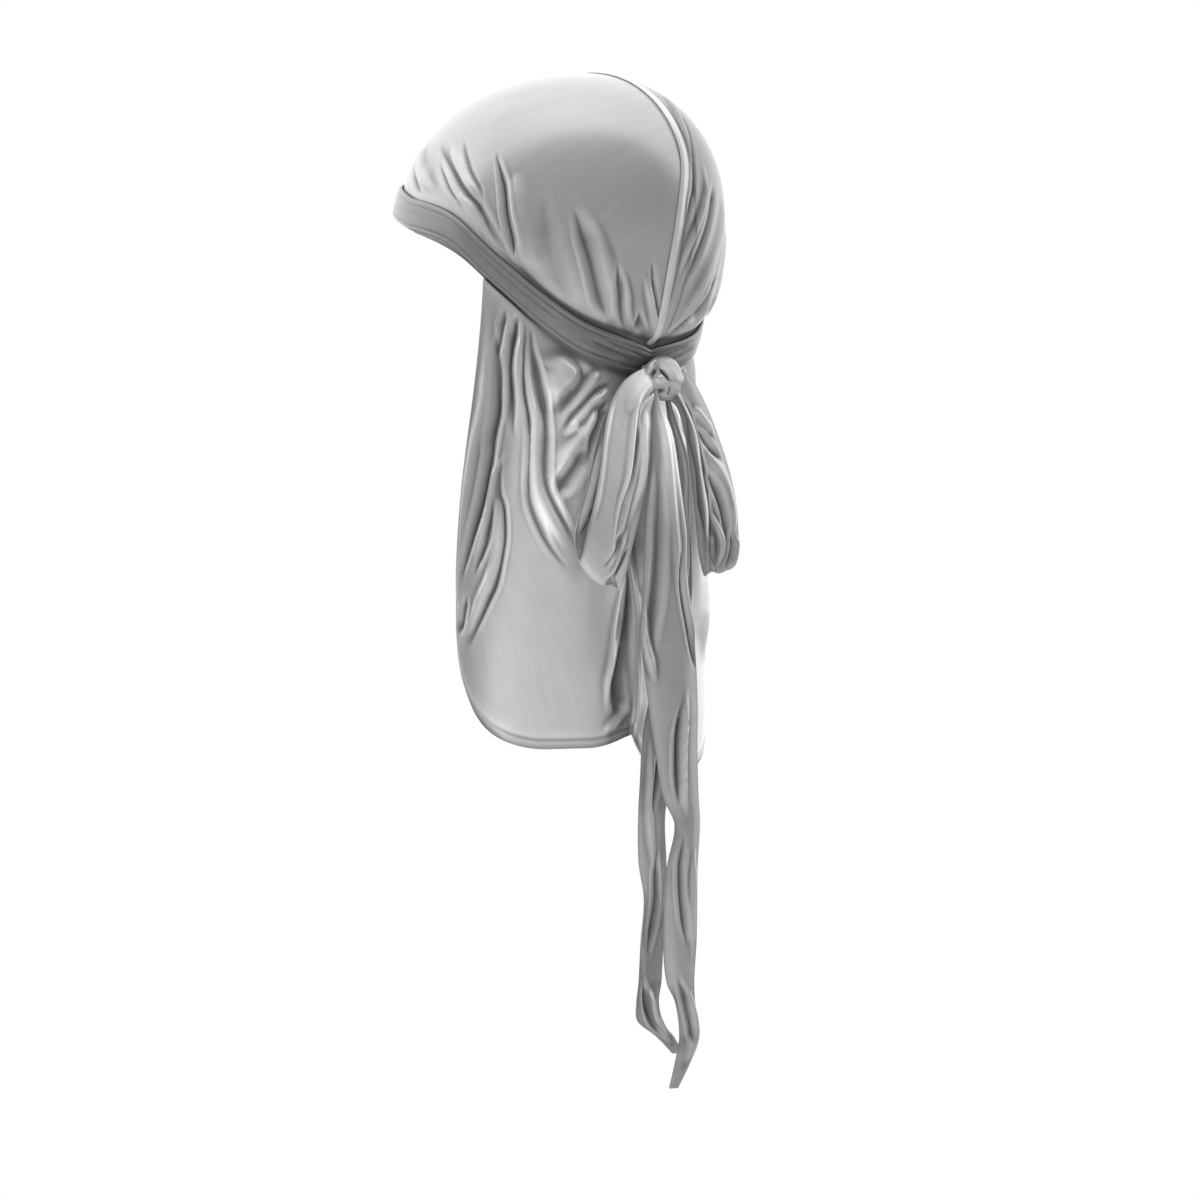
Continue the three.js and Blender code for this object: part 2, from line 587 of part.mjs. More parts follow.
// The way out from the middle of the strap's line in the centre plane.
function centreOut(column) {
  return strapFrame(column).out.setX(0).normalize();
}

// A strap from the middle of the forehead to the middle of the nape.
function strap(side) {
  const rows = COLUMNS.map((column) => {
    const angle = side > 0 ? column : 180 - column;
    const { middle, up, out } = strapFrame(angle);
    const half = (along(STRAP_SHAPE, "angle", "wide", column) * STRAP_WIDE) / 2;
    const flare = STRAP_FLARE * smoothstep(-column, 0, FLARE_END);
    const row = [-1, 0, 1].map((w) => {
      const lift = STRAP_LIFT + STRAP_CROWN * (1 - w * w) + (flare * (1 - w)) / 2;
      const point = middle.clone().addScaledVector(up, w * half).addScaledVector(out, lift);
      if (Math.abs(column) === 90) point.x = 0;
      return point;
    });
    return side > 0 ? row : row.reverse();
  });
  const ends = new Map([[0, centreOut(-90)], [rows.length - 1, centreOut(90)]]);
  const geometry = sheetFrom(rows, STRAP_THICK, ends);
  geometry.translate((side * SEAM_GAP) / 2, 0, 0);
  return geometry;
}

addNode("left_strap", strap(1));
addNode("right_strap", strap(-1));

// A raised strip over the seam, through levels of the cloth that each name the column they lie on.
function seamStrip(stops) {
  const rows = stops.map(({ column, level }) => {
    const radius = (HEAD_WIDE / 2) * Math.sin(latitudeAt(tieDrop(column)) * Math.min(level, 1));
    const turn = level > 0 ? THREE.MathUtils.radToDeg(SEAM_WIDE / 2 / radius) : 0;
    const out = level > 0 ? clothNormal(column, level) : new THREE.Vector3(0, 0, 1);
    return [-1, 0, 1].map((w) => {
      const point = clothPoint(column - w * Math.sign(column) * turn, level);
      if (level === 0) point.x = (w * SEAM_WIDE) / 2;
      return point.addScaledVector(out, CLOTH / 2 + SEAM_RAISE + (SEAM_THICK / 2) * (2 - w * w));
    });
  });
  return sheetFrom(rows, SEAM_THICK);
}

const seamStops = (column, levels) => levels.map((level) => ({ column, level }));
const crownStops = (column) => seamStops(column, crownLevels(column).slice(1, -1));
const topStops = seamStops(90, [0]);
addNode("centre_seam", seamStrip([...crownStops(-90).reverse(), ...topStops, ...crownStops(90)]));
addNode("cape_seam", seamStrip(seamStops(90, capeLevels(90).slice(1, -2))));

// The knot sits on the straps where they meet.
const napeFrame = strapFrame(90);
const STRAP_TOP = STRAP_LIFT + STRAP_CROWN + STRAP_THICK / 2;
const KNOT_SEAT = Math.hypot((KNOT_DEEP / 2) * napeFrame.out.y, (KNOT_TALL / 2 - KNOT_CREASE) * napeFrame.out.z);
const KNOT_AT = napeFrame.middle
  .clone()
  .addScaledVector(napeFrame.out, STRAP_TOP + GAP + KNOT_SEAT)
  .addScaledVector(napeFrame.up, -KNOT_HANG);
KNOT_AT.x = -KNOT_SIDE;

function knotSolid(clearance) {
  const geometry = new THREE.SphereGeometry(1, KNOT_ROUND, KNOT_ROWS);
  const place = geometry.attributes.position;
  for (let i = 0; i < place.count; i++) {
    const p = new THREE.Vector3().fromBufferAttribute(place, i);
    const crease = KNOT_CREASE * Math.cos(KNOT_GROOVES * (p.z + KNOT_SLANT * p.x)) * Math.sqrt(1 - p.y * p.y);
    p.multiply(new THREE.Vector3(
      KNOT_WIDE / 2 + clearance - KNOT_CREASE + crease,
      KNOT_DEEP / 2 + clearance,
      KNOT_TALL / 2 + clearance - KNOT_CREASE + crease,
    ));
    place.setXYZ(i, ...p.add(KNOT_AT));
  }
  return toManifold(geometry);
}
addNode("knot", fromManifold(knotSolid(0)));

// A ribbon's outer part, cut off where it goes into the knot.
const cutAtKnot = (geometry) => fromManifold(toManifold(geometry).subtract(knotSolid(GAP)));

// The level way across a cloth that faces along a turn.
const levelAcross = (turn) => new THREE.Vector3(Math.sin(radians(turn)), -Math.cos(radians(turn)), 0);

function loop(side, rows, turn) {
  const value = (column, at) => along(rows, "at", column, at);
  const centre = (at) =>
    new THREE.Vector3(
      side * value("side", at) * LOOP_WIDE,
      value("out", at) * LOOP_DEEP,
      -value("drop", at) * LOOP_DROP,
    ).add(KNOT_AT);
  const sheet = Array.from({ length: LOOP_STEPS + 1 }, (_, i) => {
    const at = i / LOOP_STEPS;
    const lean = radians(value("lean", at));
    const across = levelAcross(turn).multiplyScalar(side * Math.cos(lean));
    across.z = Math.sin(lean);
    const way = centre(Math.min(at + 0.01, 1)).sub(centre(Math.max(at - 0.01, 0)));
    const out = across.clone().cross(way).multiplyScalar(side).normalize();
    const half = (value("wide", at) * LOOP_WIDE) / 2;
    const row = LOOP_ACROSS.map(({ at: w, lift }) =>
      centre(at)
        .addScaledVector(across, w * half)
        .addScaledVector(out, lift * LOOP_DEEP * Math.sin(Math.PI * at)),
    );
    return side > 0 ? row.reverse() : row;
  });
  return cutAtKnot(sheetFrom(sheet, TIE_THICK));
}
addNode("left_loop", loop(1, LEFT_LOOP, LEFT_LOOP_ANGLE));
addNode("right_loop", loop(-1, RIGHT_LOOP, RIGHT_LOOP_ANGLE));

function tail(rows) {
  const first = rows[0].drop;
  const last = rows.at(-1).drop;
  const sheet = Array.from({ length: TAIL_STEPS + 1 }, (_, i) => {
    const drop = lerp(first, last, i / TAIL_STEPS);
    const value = (column) => along(rows, "drop", column, drop);
    const across = levelAcross(value("turn"));
    const out = new THREE.Vector3(-across.y, across.x, 0);
    const centre = new THREE.Vector3(value("side") * TAIL_WIDE, value("out") * KNOT_DEEP, -drop * TAIL_DROP);
    return TAIL_ACROSS.map((w) =>
      centre
        .clone()
        .add(KNOT_AT)
        .addScaledVector(across, (-w * value("wide") * TAIL_WIDE) / 2)
        .addScaledVector(out, value("curl") * TAIL_WIDE * (0.5 - w * w)),
    );
  });
  return cutAtKnot(sheetFrom(sheet, TIE_THICK));
}
addNode("left_tail", tail(LEFT_TAIL));
addNode("right_tail", tail(RIGHT_TAIL));

export default group;
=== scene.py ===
import math

import bpy
import numpy as np
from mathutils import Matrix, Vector


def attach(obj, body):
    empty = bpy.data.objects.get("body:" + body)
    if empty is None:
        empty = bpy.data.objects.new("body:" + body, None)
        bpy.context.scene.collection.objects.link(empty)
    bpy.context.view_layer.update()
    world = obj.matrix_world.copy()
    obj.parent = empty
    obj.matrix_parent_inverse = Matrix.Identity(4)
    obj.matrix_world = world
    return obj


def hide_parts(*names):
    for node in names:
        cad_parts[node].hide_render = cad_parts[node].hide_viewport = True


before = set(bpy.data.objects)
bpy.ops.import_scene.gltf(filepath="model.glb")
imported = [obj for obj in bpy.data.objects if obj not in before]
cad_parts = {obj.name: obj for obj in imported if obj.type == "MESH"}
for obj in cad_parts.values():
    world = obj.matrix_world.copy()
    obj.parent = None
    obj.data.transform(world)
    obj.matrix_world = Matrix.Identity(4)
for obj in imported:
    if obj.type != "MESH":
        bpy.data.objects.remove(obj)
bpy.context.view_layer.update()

scene = bpy.context.scene

# A satin durag in its worn shape. Lengths in the tables and the functions are millimetres in the frame of
# the solids, +Z up, the face along -Y and the wearer's left at +X. Angles go round the head in degrees: -90
# is the forehead, 0 the left ear, 90 the nape and 180 the right ear. Level 0 is the top, 1 the tie line and
# 2 the hem.
MM = 0.001

# Cloth
CLOTH = 0.9
SEAM_GAP = 0.3

# Crown, measured to the middle of the cloth
HEAD_FRONT = 118
HEAD_BACK = 87
HEAD_WIDE = 164
DOME_TALL = 78
LOWER_TALL = 127
DOME_FULL = 0.94
NAPE_TUCK = 11
PUFF = 2.5
PUFF_START = -10
PUFF_FULL = 60
SEAM_PULL = 75

# Straps
NAPE_DROP = 165
STRAP_WIDE = 18
STRAP_THICK = 1.8
STRAP_CROWN = 0.8
STRAP_FLARE = 3
FLARE_END = 80
PRESS_MARGIN = 1.5
BEHIND_EDGE = 25
SHELL = 1.2
GAP = 0.4

# Cape
CAPE_DROP = 382
CAPE_WIDE = 187
CAPE_TUCK = 7
CAPE_FRONT = 2
CAPE_EDGE = 11
LEFT_CORNER = 60
RIGHT_CORNER = 110
NOTCH_TALL = 7
RIGHT_HANG = 22
LEFT_ROUND = 0.6
RIGHT_ROUND = 0.9
NOTCH_SHARE = 0.2
CAPE_SQUARE = 0.9
SPREAD_END = 0.85
HEM_WIDE = 5

# Folds
FOLD_WIDE = 10
FOLD_HIGH = 8
FOLD_SHOULDER = 0.2
SHOULDER_AT = 1.7
SHOULDER_WIDE = 0.7
FOLD_FADE = (-0.03, 0.3)
FOLD_NARROW = 0.6
SHARP_FALL = 1.6
FOLD_ROOM = 2


def table(columns, rows):
    """A table's columns by name."""
    return dict(zip(columns.split(), np.array(rows, float).T))


TIE_LINE = table("angle drop", [
    (-90, 0.36), (-52, 0.41), (-20, 0.485), (0, 0.57), (17, 0.715), (36, 0.862), (55, 0.945), (90, 1),
])
SEAM_BOW = table("level turn", [(0, 0), (0.5, 0.5), (0.79, 6.5), (1, 0)])


def along(rows, key, column, at):
    """A smooth value from a table's rows, by a rising key."""
    keys, values = rows[key], rows[column]
    at = np.asarray(at, float)
    i = np.searchsorted(keys[1:-1], at, side="left")
    j, before, after = i + 1, np.maximum(i - 1, 0), np.minimum(i + 2, len(keys) - 1)
    span = keys[j] - keys[i]
    t = np.clip((at - keys[i]) / span, 0, 1)
    slope_a = (values[j] - values[before]) / (keys[j] - keys[before]) * span
    slope_b = (values[after] - values[i]) / (keys[after] - keys[i]) * span
    t2, t3 = t * t, t * t * t
    start = (2 * t3 - 3 * t2 + 1) * values[i] + (t3 - 2 * t2 + t) * slope_a
    return start + (3 * t2 - 2 * t3) * values[j] + (t3 - t2) * slope_b


def smoothstep(x, low, high):
    t = np.clip((x - low) / (high - low), 0, 1)
    return t * t * (3 - 2 * t)


def lerp(a, b, t):
    return a + (b - a) * t


def bell(x, middle, wide):
    return np.exp(-((x - middle) / wide) ** 2)


def left_angle(angle):
    return np.where(angle > 90, 180 - angle, angle)


def tie_drop(angle):
    return NAPE_DROP * along(TIE_LINE, "angle", "drop", left_angle(angle))


def latitude_at(drop):
    dome = np.arccos(np.clip(1 - drop / DOME_TALL, -1, 1))
    return np.where(drop < DOME_TALL, dome, np.arccos(np.clip((DOME_TALL - drop) / LOWER_TALL, -1, 1)))


HALF_LONG = (HEAD_FRONT + HEAD_BACK) / 2
MIDDLE_Y = (HEAD_BACK - HEAD_FRONT) / 2
UNDER_STRAP = STRAP_WIDE / 2 + PRESS_MARGIN
STRAP_LIFT = SHELL / 2 + GAP + STRAP_THICK / 2


def head_point(angle, latitude):
    """A point of the smooth head under the cloth's folds."""
    down = np.cos(latitude)
    lower = down < 0
    sine = np.clip(np.sin(latitude), 0, 1)
    ring = np.where(lower, sine, sine ** DOME_FULL)
    drop = np.where(lower, DOME_TALL - LOWER_TALL * down, DOME_TALL * (1 - down))
    middle = np.where(lower, MIDDLE_Y, MIDDLE_Y * ring)
    turn = np.radians(angle)
    back = np.maximum(0, np.sin(turn))
    below = np.maximum(0, (drop - DOME_TALL) / (NAPE_DROP - DOME_TALL))
    return np.stack([
        HEAD_WIDE / 2 * ring * np.cos(turn),
        middle + HALF_LONG * ring * np.sin(turn) - NAPE_TUCK * below * below * back * back,
        SHELL / 2 - drop,
    ], -1)


def cape_share(angle):
    return np.maximum(0, (left_angle(angle) - CAPE_EDGE) / (90 - CAPE_EDGE))


def hem_drop(angle):
    share = cape_share(angle)
    right = angle > 90
    corner = np.maximum(0, 1 - share / np.where(right, RIGHT_ROUND, LEFT_ROUND))
    rise = np.where(right, RIGHT_CORNER, LEFT_CORNER) * (1 - np.sqrt(np.maximum(0, 1 - corner * corner)))
    notch = np.maximum(0, 1 - (1 - share) / NOTCH_SHARE) ** 2
    hang = np.where(right, RIGHT_HANG * (1 - notch), 0)
    return CAPE_DROP + hang - rise - NOTCH_TALL * notch


NAPE = head_point(np.array(90.0), latitude_at(np.array(float(NAPE_DROP))))


def base_point(angle, level):
    """A point of the smooth sheet."""
    angle, level = np.broadcast_arrays(np.asarray(angle, float), np.asarray(level, float))
    rim = latitude_at(tie_drop(angle))
    share = np.clip(1 - np.abs(angle - 90) / SEAM_PULL, 0, 1)
    turned = angle - along(SEAM_BOW, "level", "turn", np.minimum(level, 1)) * smoothstep(share, 0, 1)
    crown = head_point(turned, rim * np.minimum(level, 1))
    top = head_point(angle, rim)
    turn = np.radians(cape_share(angle) * 90)
    side = np.where(angle > 90, -1, 1)
    spread = smoothstep(level - 1, 0, SPREAD_END)
    hem_x = side * CAPE_WIDE * np.maximum(np.cos(turn), 0) ** CAPE_SQUARE / 2
    hem_y = -CAPE_FRONT + (NAPE[1] - CAPE_TUCK + CAPE_FRONT) * np.sin(turn) ** CAPE_SQUARE
    cape = np.stack([
        lerp(top[..., 0], hem_x, spread),
        lerp(top[..., 1], hem_y, spread),
        lerp(top[..., 2], SHELL / 2 - hem_drop(angle), level - 1),
    ], -1)
    return np.where((level <= 1)[..., None], crown, cape)


def reach_at(angle, above):
    return latitude_at(tie_drop(angle)) * HALF_LONG if above else hem_drop(angle) - tie_drop(angle)


def edge_level(angle, above):
    """The level where the strap's upper or lower edge presses the cloth."""
    return 1 + (-UNDER_STRAP if above else UNDER_STRAP) / reach_at(angle, above)


def unit(v):
    return v / np.maximum(np.linalg.norm(v, axis=-1, keepdims=True), 1e-9)


def grid_normals(points):
    """Normals of a grid of points, first index round the head, second down it."""
    return unit(np.cross(np.gradient(points, axis=1), np.gradient(points, axis=0)))


# Folds of the cloth. Each runs through stops on the smooth sheet, given by angle and level. Widths at its
# start and end are shares of FOLD_WIDE and its height is a share of FOLD_HIGH, under zero for a crease.
# sharp makes its top an edge. lean makes its side towards the nape steeper, or the other side where it is
# negative. Both are left out where they are 0. Many stops of the left crown and cape, and a few of the right
# crown, were read off the photograph one by one, and a separate program worked out their angle and level.
LEFT_CROWN_FOLDS = [
    ([(-13, 0.74), (-5, 0.846), (1, 0.914), (7, 0.95)], 0.22, 0.16, -0.2, 1),
    ([(-17, 0.68), (-3, 0.795), (3, 0.86), (9, 0.89), (17, 0.936), (23, 0.955)], 0.5, 0.2, -0.45, 0.5, 0.3),
    ([(-8, 0.69), (2, 0.798), (8, 0.842), (12, 0.875)], 0.35, 0.25, 0.3),
    ([(-3, 0.64), (5.5, 0.769), (10, 0.821), (13, 0.86)], 0.22, 0.2, -0.14, 0.5),
    ([(15.2, 0.66), (18.9, 0.767), (20.4, 0.849), (22.5, 0.903), (23.5, 0.965)], 0.2, 0.34, -0.62, 1, 0.3),
    ([(24, 0.7), (26, 0.8), (28, 0.9), (29, 0.97)], 0.6, 0.7, 0.28),
    ([(34, 0.74), (36, 0.84), (40, 0.92), (44, 0.97)], 0.5, 0.5, -0.14),
    ([(46, 0.74), (50, 0.793), (54, 0.842), (58, 0.902), (65, 0.963)], 0.4, 0.5, -0.4, 0.4, 0.3),
    ([(56, 0.78), (60, 0.85), (64, 0.91), (69, 0.96)], 0.5, 0.4, 0.25),
    ([(65, 0.82), (66.5, 0.868), (68.5, 0.92), (73.5, 0.97)], 0.22, 0.3, -0.3, 0.7),
    ([(69, 0.84), (72, 0.924), (76, 0.975)], 0.2, 0.25, 0.28),
    ([(77.5, 0.9), (79.5, 0.95), (83, 0.99)], 0.15, 0.55, -0.5, 0.3),
    ([(78, 0.83), (83, 0.885), (87, 0.93), (88.5, 0.97)], 0.2, 0.3, 0.38),
    ([(80, 0.8), (84, 0.86), (87.5, 0.9)], 0.16, 0.16, -0.2, 1),
    ([(-46, 0.7), (-30, 0.85), (-14, 0.96)], 0.4, 0.25, -0.3, 0.5),
    ([(-58, 0.8), (-44, 0.9), (-30, 0.97)], 0.3, 0.2, -0.25, 0.6),
    ([(-40, 0.68), (-26, 0.8), (-10, 0.9)], 0.5, 0.4, 0.25),
]
RIGHT_CROWN_FOLDS = [
    ([(113, 0.25), (100, 0.37), (95.5, 0.455), (93, 0.55)], 0.3, 0.25, 0.18),
    ([(107, 0.32), (102, 0.408), (98, 0.488), (96, 0.57), (95.5, 0.665), (94, 0.71), (92.5, 0.765)],
     0.16, 0.16, -0.22, 1),
    ([(102, 0.55), (103.5, 0.645), (101.5, 0.706), (97, 0.764), (94, 0.83)], 0.25, 0.2, 0.28),
    ([(110, 0.62), (109, 0.7), (104, 0.78), (98, 0.85)], 0.35, 0.25, -0.3, 0.4),
    ([(122, 0.66), (118, 0.76), (110, 0.85), (100, 0.92)], 0.5, 0.35, 0.3),
    ([(128, 0.84), (116, 0.9), (104, 0.94), (96, 0.985)], 0.4, 0.5, -0.55, 0.4),
    ([(128, 0.7), (125, 0.8), (120, 0.88), (112, 0.96)], 0.3, 0.4, -0.3, 0.6),
    ([(138, 0.72), (135, 0.84), (130, 0.95)], 0.5, 0.5, 0.3),
    ([(146, 0.7), (143, 0.82), (137, 0.96)], 0.35, 0.45, -0.4, 0.5, -0.3),
    ([(166, 0.66), (163, 0.78), (160, 0.88), (158, 0.96)], 0.35, 0.5, -0.55, 0.6, -0.3),
    ([(176, 0.68), (172, 0.8), (168, 0.92)], 0.5, 0.4, 0.3),
    ([(196, 0.69), (184, 0.8), (174, 0.89), (160, 0.95)], 0.5, 0.2, -0.4, 0.5, -0.3),
    ([(192, 0.78), (184, 0.86), (176, 0.94)], 0.22, 0.16, -0.2, 1),
    ([(222, 0.7), (208, 0.84), (194, 0.95)], 0.4, 0.25, -0.3, 0.5),
    ([(236, 0.8), (222, 0.9), (208, 0.97)], 0.3, 0.2, -0.25, 0.6),
]
LEFT_CAPE_FOLDS = [
    ([(13, 1.08), (15, 1.25), (15.3, 1.33), (13.7, 1.45), (13, 1.6), (13, 1.85)], 0.4, 0.4, 0.3),
    ([(15.5, 1.14), (19, 1.212), (20.8, 1.29), (20.4, 1.37), (20.8, 1.42), (20.2, 1.53), (17.5, 1.64),
      (14, 1.77)], 0.3, 0.22, -0.6, 0.4, -0.2),
    ([(19, 1.07), (18.8, 1.14), (17.5, 1.2)], 0.25, 0.25, -0.25, 0.5),
    ([(19.5, 1.1), (21.2, 1.182), (21.9, 1.24), (23, 1.32)], 0.25, 0.25, 0.25),
    ([(23.5, 1.05), (23.3, 1.104), (22.7, 1.15), (23, 1.2), (25.2, 1.252),
      (28, 1.33)], 0.3, 0.3, -0.6, 0.6, -0.2),
    ([(25, 1.06), (24.8, 1.15), (26.4, 1.217), (28.7, 1.259), (31, 1.34), (33, 1.5)], 0.25, 0.6, 0.35),
    ([(27, 1.07), (26.8, 1.14), (28.9, 1.215), (31.4, 1.25), (33.7, 1.292), (34.9, 1.334), (37.6, 1.407),
      (41, 1.445), (47, 1.484), (53, 1.517), (61, 1.556)], 0.16, 0.25, -0.3, 0.8),
    ([(27.5, 1.08), (29.1, 1.168), (32.6, 1.227), (35, 1.262), (35.6, 1.304), (37.2, 1.35), (40.6, 1.39),
      (46.5, 1.428), (53.5, 1.468), (60.5, 1.512)], 0.2, 0.7, 0.6, 0, 0.2),
    ([(28.7, 1.05), (29.5, 1.102), (32.2, 1.142), (36.3, 1.2), (40, 1.269), (41.8, 1.33), (44, 1.375),
      (49.5, 1.41), (56.5, 1.45), (63, 1.5)], 0.3, 0.5, -0.5, 0.3, -0.4),
    ([(44, 1.05), (42.5, 1.111), (40, 1.149), (40, 1.21)], 0.9, 0.7, 0.5),
    ([(47, 1.06), (53, 1.085), (52, 1.12), (47.4, 1.161), (43.5, 1.21)], 0.35, 0.5, -0.35, 0.3),
    ([(62, 1.06), (57.5, 1.09), (53, 1.135), (48.5, 1.185)], 0.3, 0.3, 0.22),
    ([(68, 1.08), (59.6, 1.123), (51.9, 1.185), (47, 1.24)], 0.24, 0.35, -0.35, 0.3),
    ([(68, 1.1), (60, 1.141), (52.3, 1.2), (47.5, 1.252)], 0.28, 0.3, 0.36),
    ([(65, 1.118), (56.9, 1.18), (52, 1.225)], 0.26, 0.26, -0.25, 0.3),
    ([(63.5, 1.15), (59.8, 1.185), (54, 1.245), (49.4, 1.304), (47, 1.37)], 0.35, 0.6, 0.4),
    ([(67, 1.12), (65.5, 1.16), (64, 1.197), (62.5, 1.23), (61.5, 1.3)], 0.35, 0.35, -0.6, 0.3),
    ([(60, 1.25), (54.5, 1.322), (48.8, 1.393)], 0.5, 0.4, -0.35, 0.3),
    ([(26, 1.37), (23, 1.435), (22.9, 1.484), (22.7, 1.536), (21.6, 1.587), (19, 1.67)], 0.2, 0.2, 0.3, 0.3),
    ([(24.8, 1.48), (24.7, 1.578), (23.7, 1.619), (21, 1.69)], 0.18, 0.18, -0.3, 0.6),
    ([(24.5, 1.38), (26.4, 1.457), (29.5, 1.485), (32.2, 1.541), (32.6, 1.593), (32, 1.654), (29.3, 1.707),
      (25.4, 1.779), (20, 1.865)], 0.2, 0.3, -0.42, 0.5, -0.4),
    ([(26.8, 1.46), (29.9, 1.542), (30.8, 1.592), (29.5, 1.643), (25.2, 1.742), (17, 1.87)], 0.25, 0.3, 0.32),
    ([(17.5, 1.76), (15.6, 1.83), (13.5, 1.9)], 0.2, 0.2, -0.3, 0.6),
    ([(88, 1.56), (87.2, 1.654), (86.6, 1.72), (85, 1.77), (82.8, 1.83), (81.5, 1.9)], 0.25, 0.25, 0.25),
    ([(88.5, 1.9), (86, 1.935), (80, 1.965)], 0.26, 0.26, 0.24),
    ([(90, 1.06), (90, 1.25), (90, 1.45), (90, 1.62)], 1.3, 0.9, -0.85),
    ([(88.6, 1.55), (87.8, 1.68), (87, 1.78), (85.6, 1.86), (85, 1.95)], 0.4, 0.6, -0.6, 0.2),
    ([(90, 1.58), (90, 1.72), (90, 1.88), (90, 2.04)], 0.6, 0.7, 0.5),
]
RIGHT_CAPE_FOLDS = [
    ([(120, 1.03), (122, 1.14), (124, 1.3)], 2.0, 2.0, -0.7),
    ([(138, 1.03), (140, 1.14), (142, 1.32)], 2.2, 2.2, -0.8),
    ([(108, 1.1), (112, 1.4), (114, 1.8)], 0.8, 0.9, 0.4),
    ([(122, 1.06), (124, 1.3), (121, 1.6)], 0.5, 0.7, -0.5, 0.4),
    ([(118, 1), (138, 1.07), (156, 1.03)], 1.6, 1.6, -0.9),
    ([(132, 1.1), (130, 1.35), (127, 1.7)], 0.6, 0.8, 0.4),
    ([(141, 1.3), (138, 1.56), (136, 1.78)], 0.9, 1.1, 0.6),
    ([(147, 1.08), (146, 1.3), (148, 1.62)], 0.4, 0.5, -0.45, 0.5),
    ([(158, 1), (157, 1.35), (159, 1.8)], 0.5, 0.6, -0.6, 0.4),
    ([(164, 1.06), (163, 1.4), (165, 1.8)], 0.4, 0.4, 0.35),
]
CLOTH_FOLDS = LEFT_CROWN_FOLDS + RIGHT_CROWN_FOLDS + LEFT_CAPE_FOLDS + RIGHT_CAPE_FOLDS
FOLD_STEPS = 24
FOLD_REACH = 2.6


def fold_line(stops, place):
    """Points of a fold's line, along a curve through its stops."""
    stops = np.array(stops, float)
    rows = {"key": np.arange(len(stops), dtype=float), "angle": stops[:, 0], "level": stops[:, 1]}
    t = np.linspace(0, len(stops) - 1, FOLD_STEPS + 1)
    return place(along(rows, "key", "angle", t), along(rows, "key", "level", t))


def fold_lift(row, points, normals, place):
    """How far a fold lifts each point."""
    stops, wide, end, high, sharp, lean = (*row, 0, 0)[:6]
    line = fold_line(stops, place)
    room = FOLD_REACH * FOLD_WIDE * max(wide, end) * (1 + abs(lean)) + FOLD_ROOM
    near = np.all((points > line.min(0) - room) & (points < line.max(0) + room), axis=-1)
    p, n = points[near], normals[near]
    best = np.full(len(p), np.inf)
    across, share = np.zeros((2, len(p)))
    for i in range(FOLD_STEPS):
        a, d = line[i], line[i + 1] - line[i]
        t = np.clip((p - a) @ d / max(d @ d, 1e-9), 0, 1)
        off = p - (a + t[:, None] * d)
        distance = np.linalg.norm(off, axis=1)
        closer = distance < best
        side = np.sign(np.einsum("ij,ij->i", off, np.cross(d, n)))
        best = np.where(closer, distance, best)
        across = np.where(closer, side * distance, across)
        share = np.where(closer, (i + t) / FOLD_STEPS, share)
    fade = smoothstep(np.minimum(share, 1 - share), *FOLD_FADE)
    taper = FOLD_NARROW + (1 - FOLD_NARROW) * fade
    width = FOLD_WIDE * lerp(wide, end, share) * taper * (1 - lean * np.sign(across))
    x = np.abs(across) / width
    shoulder = FOLD_SHOULDER * bell(x, SHOULDER_AT, SHOULDER_WIDE) if high < 0 else 0
    lift = high * FOLD_HIGH * fade * (lerp(np.exp(-x * x), np.exp(-SHARP_FALL * x), sharp) - shoulder)
    lift *= smoothstep(-x, -FOLD_REACH, -0.6 * FOLD_REACH)
    out = np.zeros(points.shape[:-1])
    out[near] = lift
    return out


def distance_past(angle, level):
    return np.where(level < 1, (level - 1) * reach_at(angle, True), (level - 1) * reach_at(angle, False))


def cloth_points(angle, level):
    """Points of the cloth with its folds, which the strap presses flat."""
    points = base_point(angle, level)
    normals = grid_normals(points) * np.sign(angle[1, 0] - angle[0, 0])
    past = distance_past(angle, level)
    clear = smoothstep(np.abs(past), UNDER_STRAP, 2 * UNDER_STRAP)
    swell = (-past - UNDER_STRAP) / UNDER_STRAP
    puff = PUFF * smoothstep(left_angle(angle), PUFF_START, PUFF_FULL) * swell * np.exp(1 - swell)
    lift = np.where((level > 1) | (swell < 0), 0, puff)
    for row in CLOTH_FOLDS:
        lift = lift + clear * fold_lift(row, points, normals, base_point)
    return points + normals * lift[..., None]


def strap_edges(angle):
    """The cloth under the strap's two edges, between which it lies straight."""
    rim = latitude_at(tie_drop(angle))
    upper = base_point(angle, edge_level(angle, True))
    lower = head_point(angle, rim + UNDER_STRAP / HALF_LONG)
    cape = base_point(angle, edge_level(angle, False))
    share = smoothstep(left_angle(angle), CAPE_EDGE, CAPE_EDGE + BEHIND_EDGE)
    return upper, lerp(lower, cape, share[..., None])


# Meshes
SHARP_BEND = 60

def new_object(name, data):
    made = bpy.data.objects.new(name, data)
    scene.collection.objects.link(made)
    return made


def mesh_object(name, points, faces):
    """A smooth-shaded object from points in millimetres, with edges over a bend kept sharp."""
    mesh = bpy.data.meshes.new(name)
    mesh.from_pydata((np.asarray(points) * MM).tolist(), [], faces)
    piece = new_object(name, mesh)
    mesh.shade_smooth()
    mesh.set_sharp_from_angle(angle=math.radians(SHARP_BEND))
    return piece


def rim_of(faces):
    """The open edges of a set of faces, each the way round that its face has it."""
    edges = set()
    for face in faces:
        for a, b in zip(face, face[1:] + face[:1]):
            if (b, a) in edges:
                edges.remove((b, a))
            else:
                edges.add((a, b))
    return sorted(edges)


def keep(piece, uv, shade):
    """Puts the cloth's own coordinates and its painted light and shade on a piece's mesh."""
    mesh = piece.data
    which = np.empty(len(mesh.loops), int)
    mesh.loops.foreach_get("vertex_index", which)
    layer = mesh.uv_layers.new(name="cloth")
    layer.data.foreach_set("uv", (uv[which] * MM).ravel())
    mesh.attributes.new("shade", "FLOAT", "POINT").data.foreach_set("value", shade)
    return piece


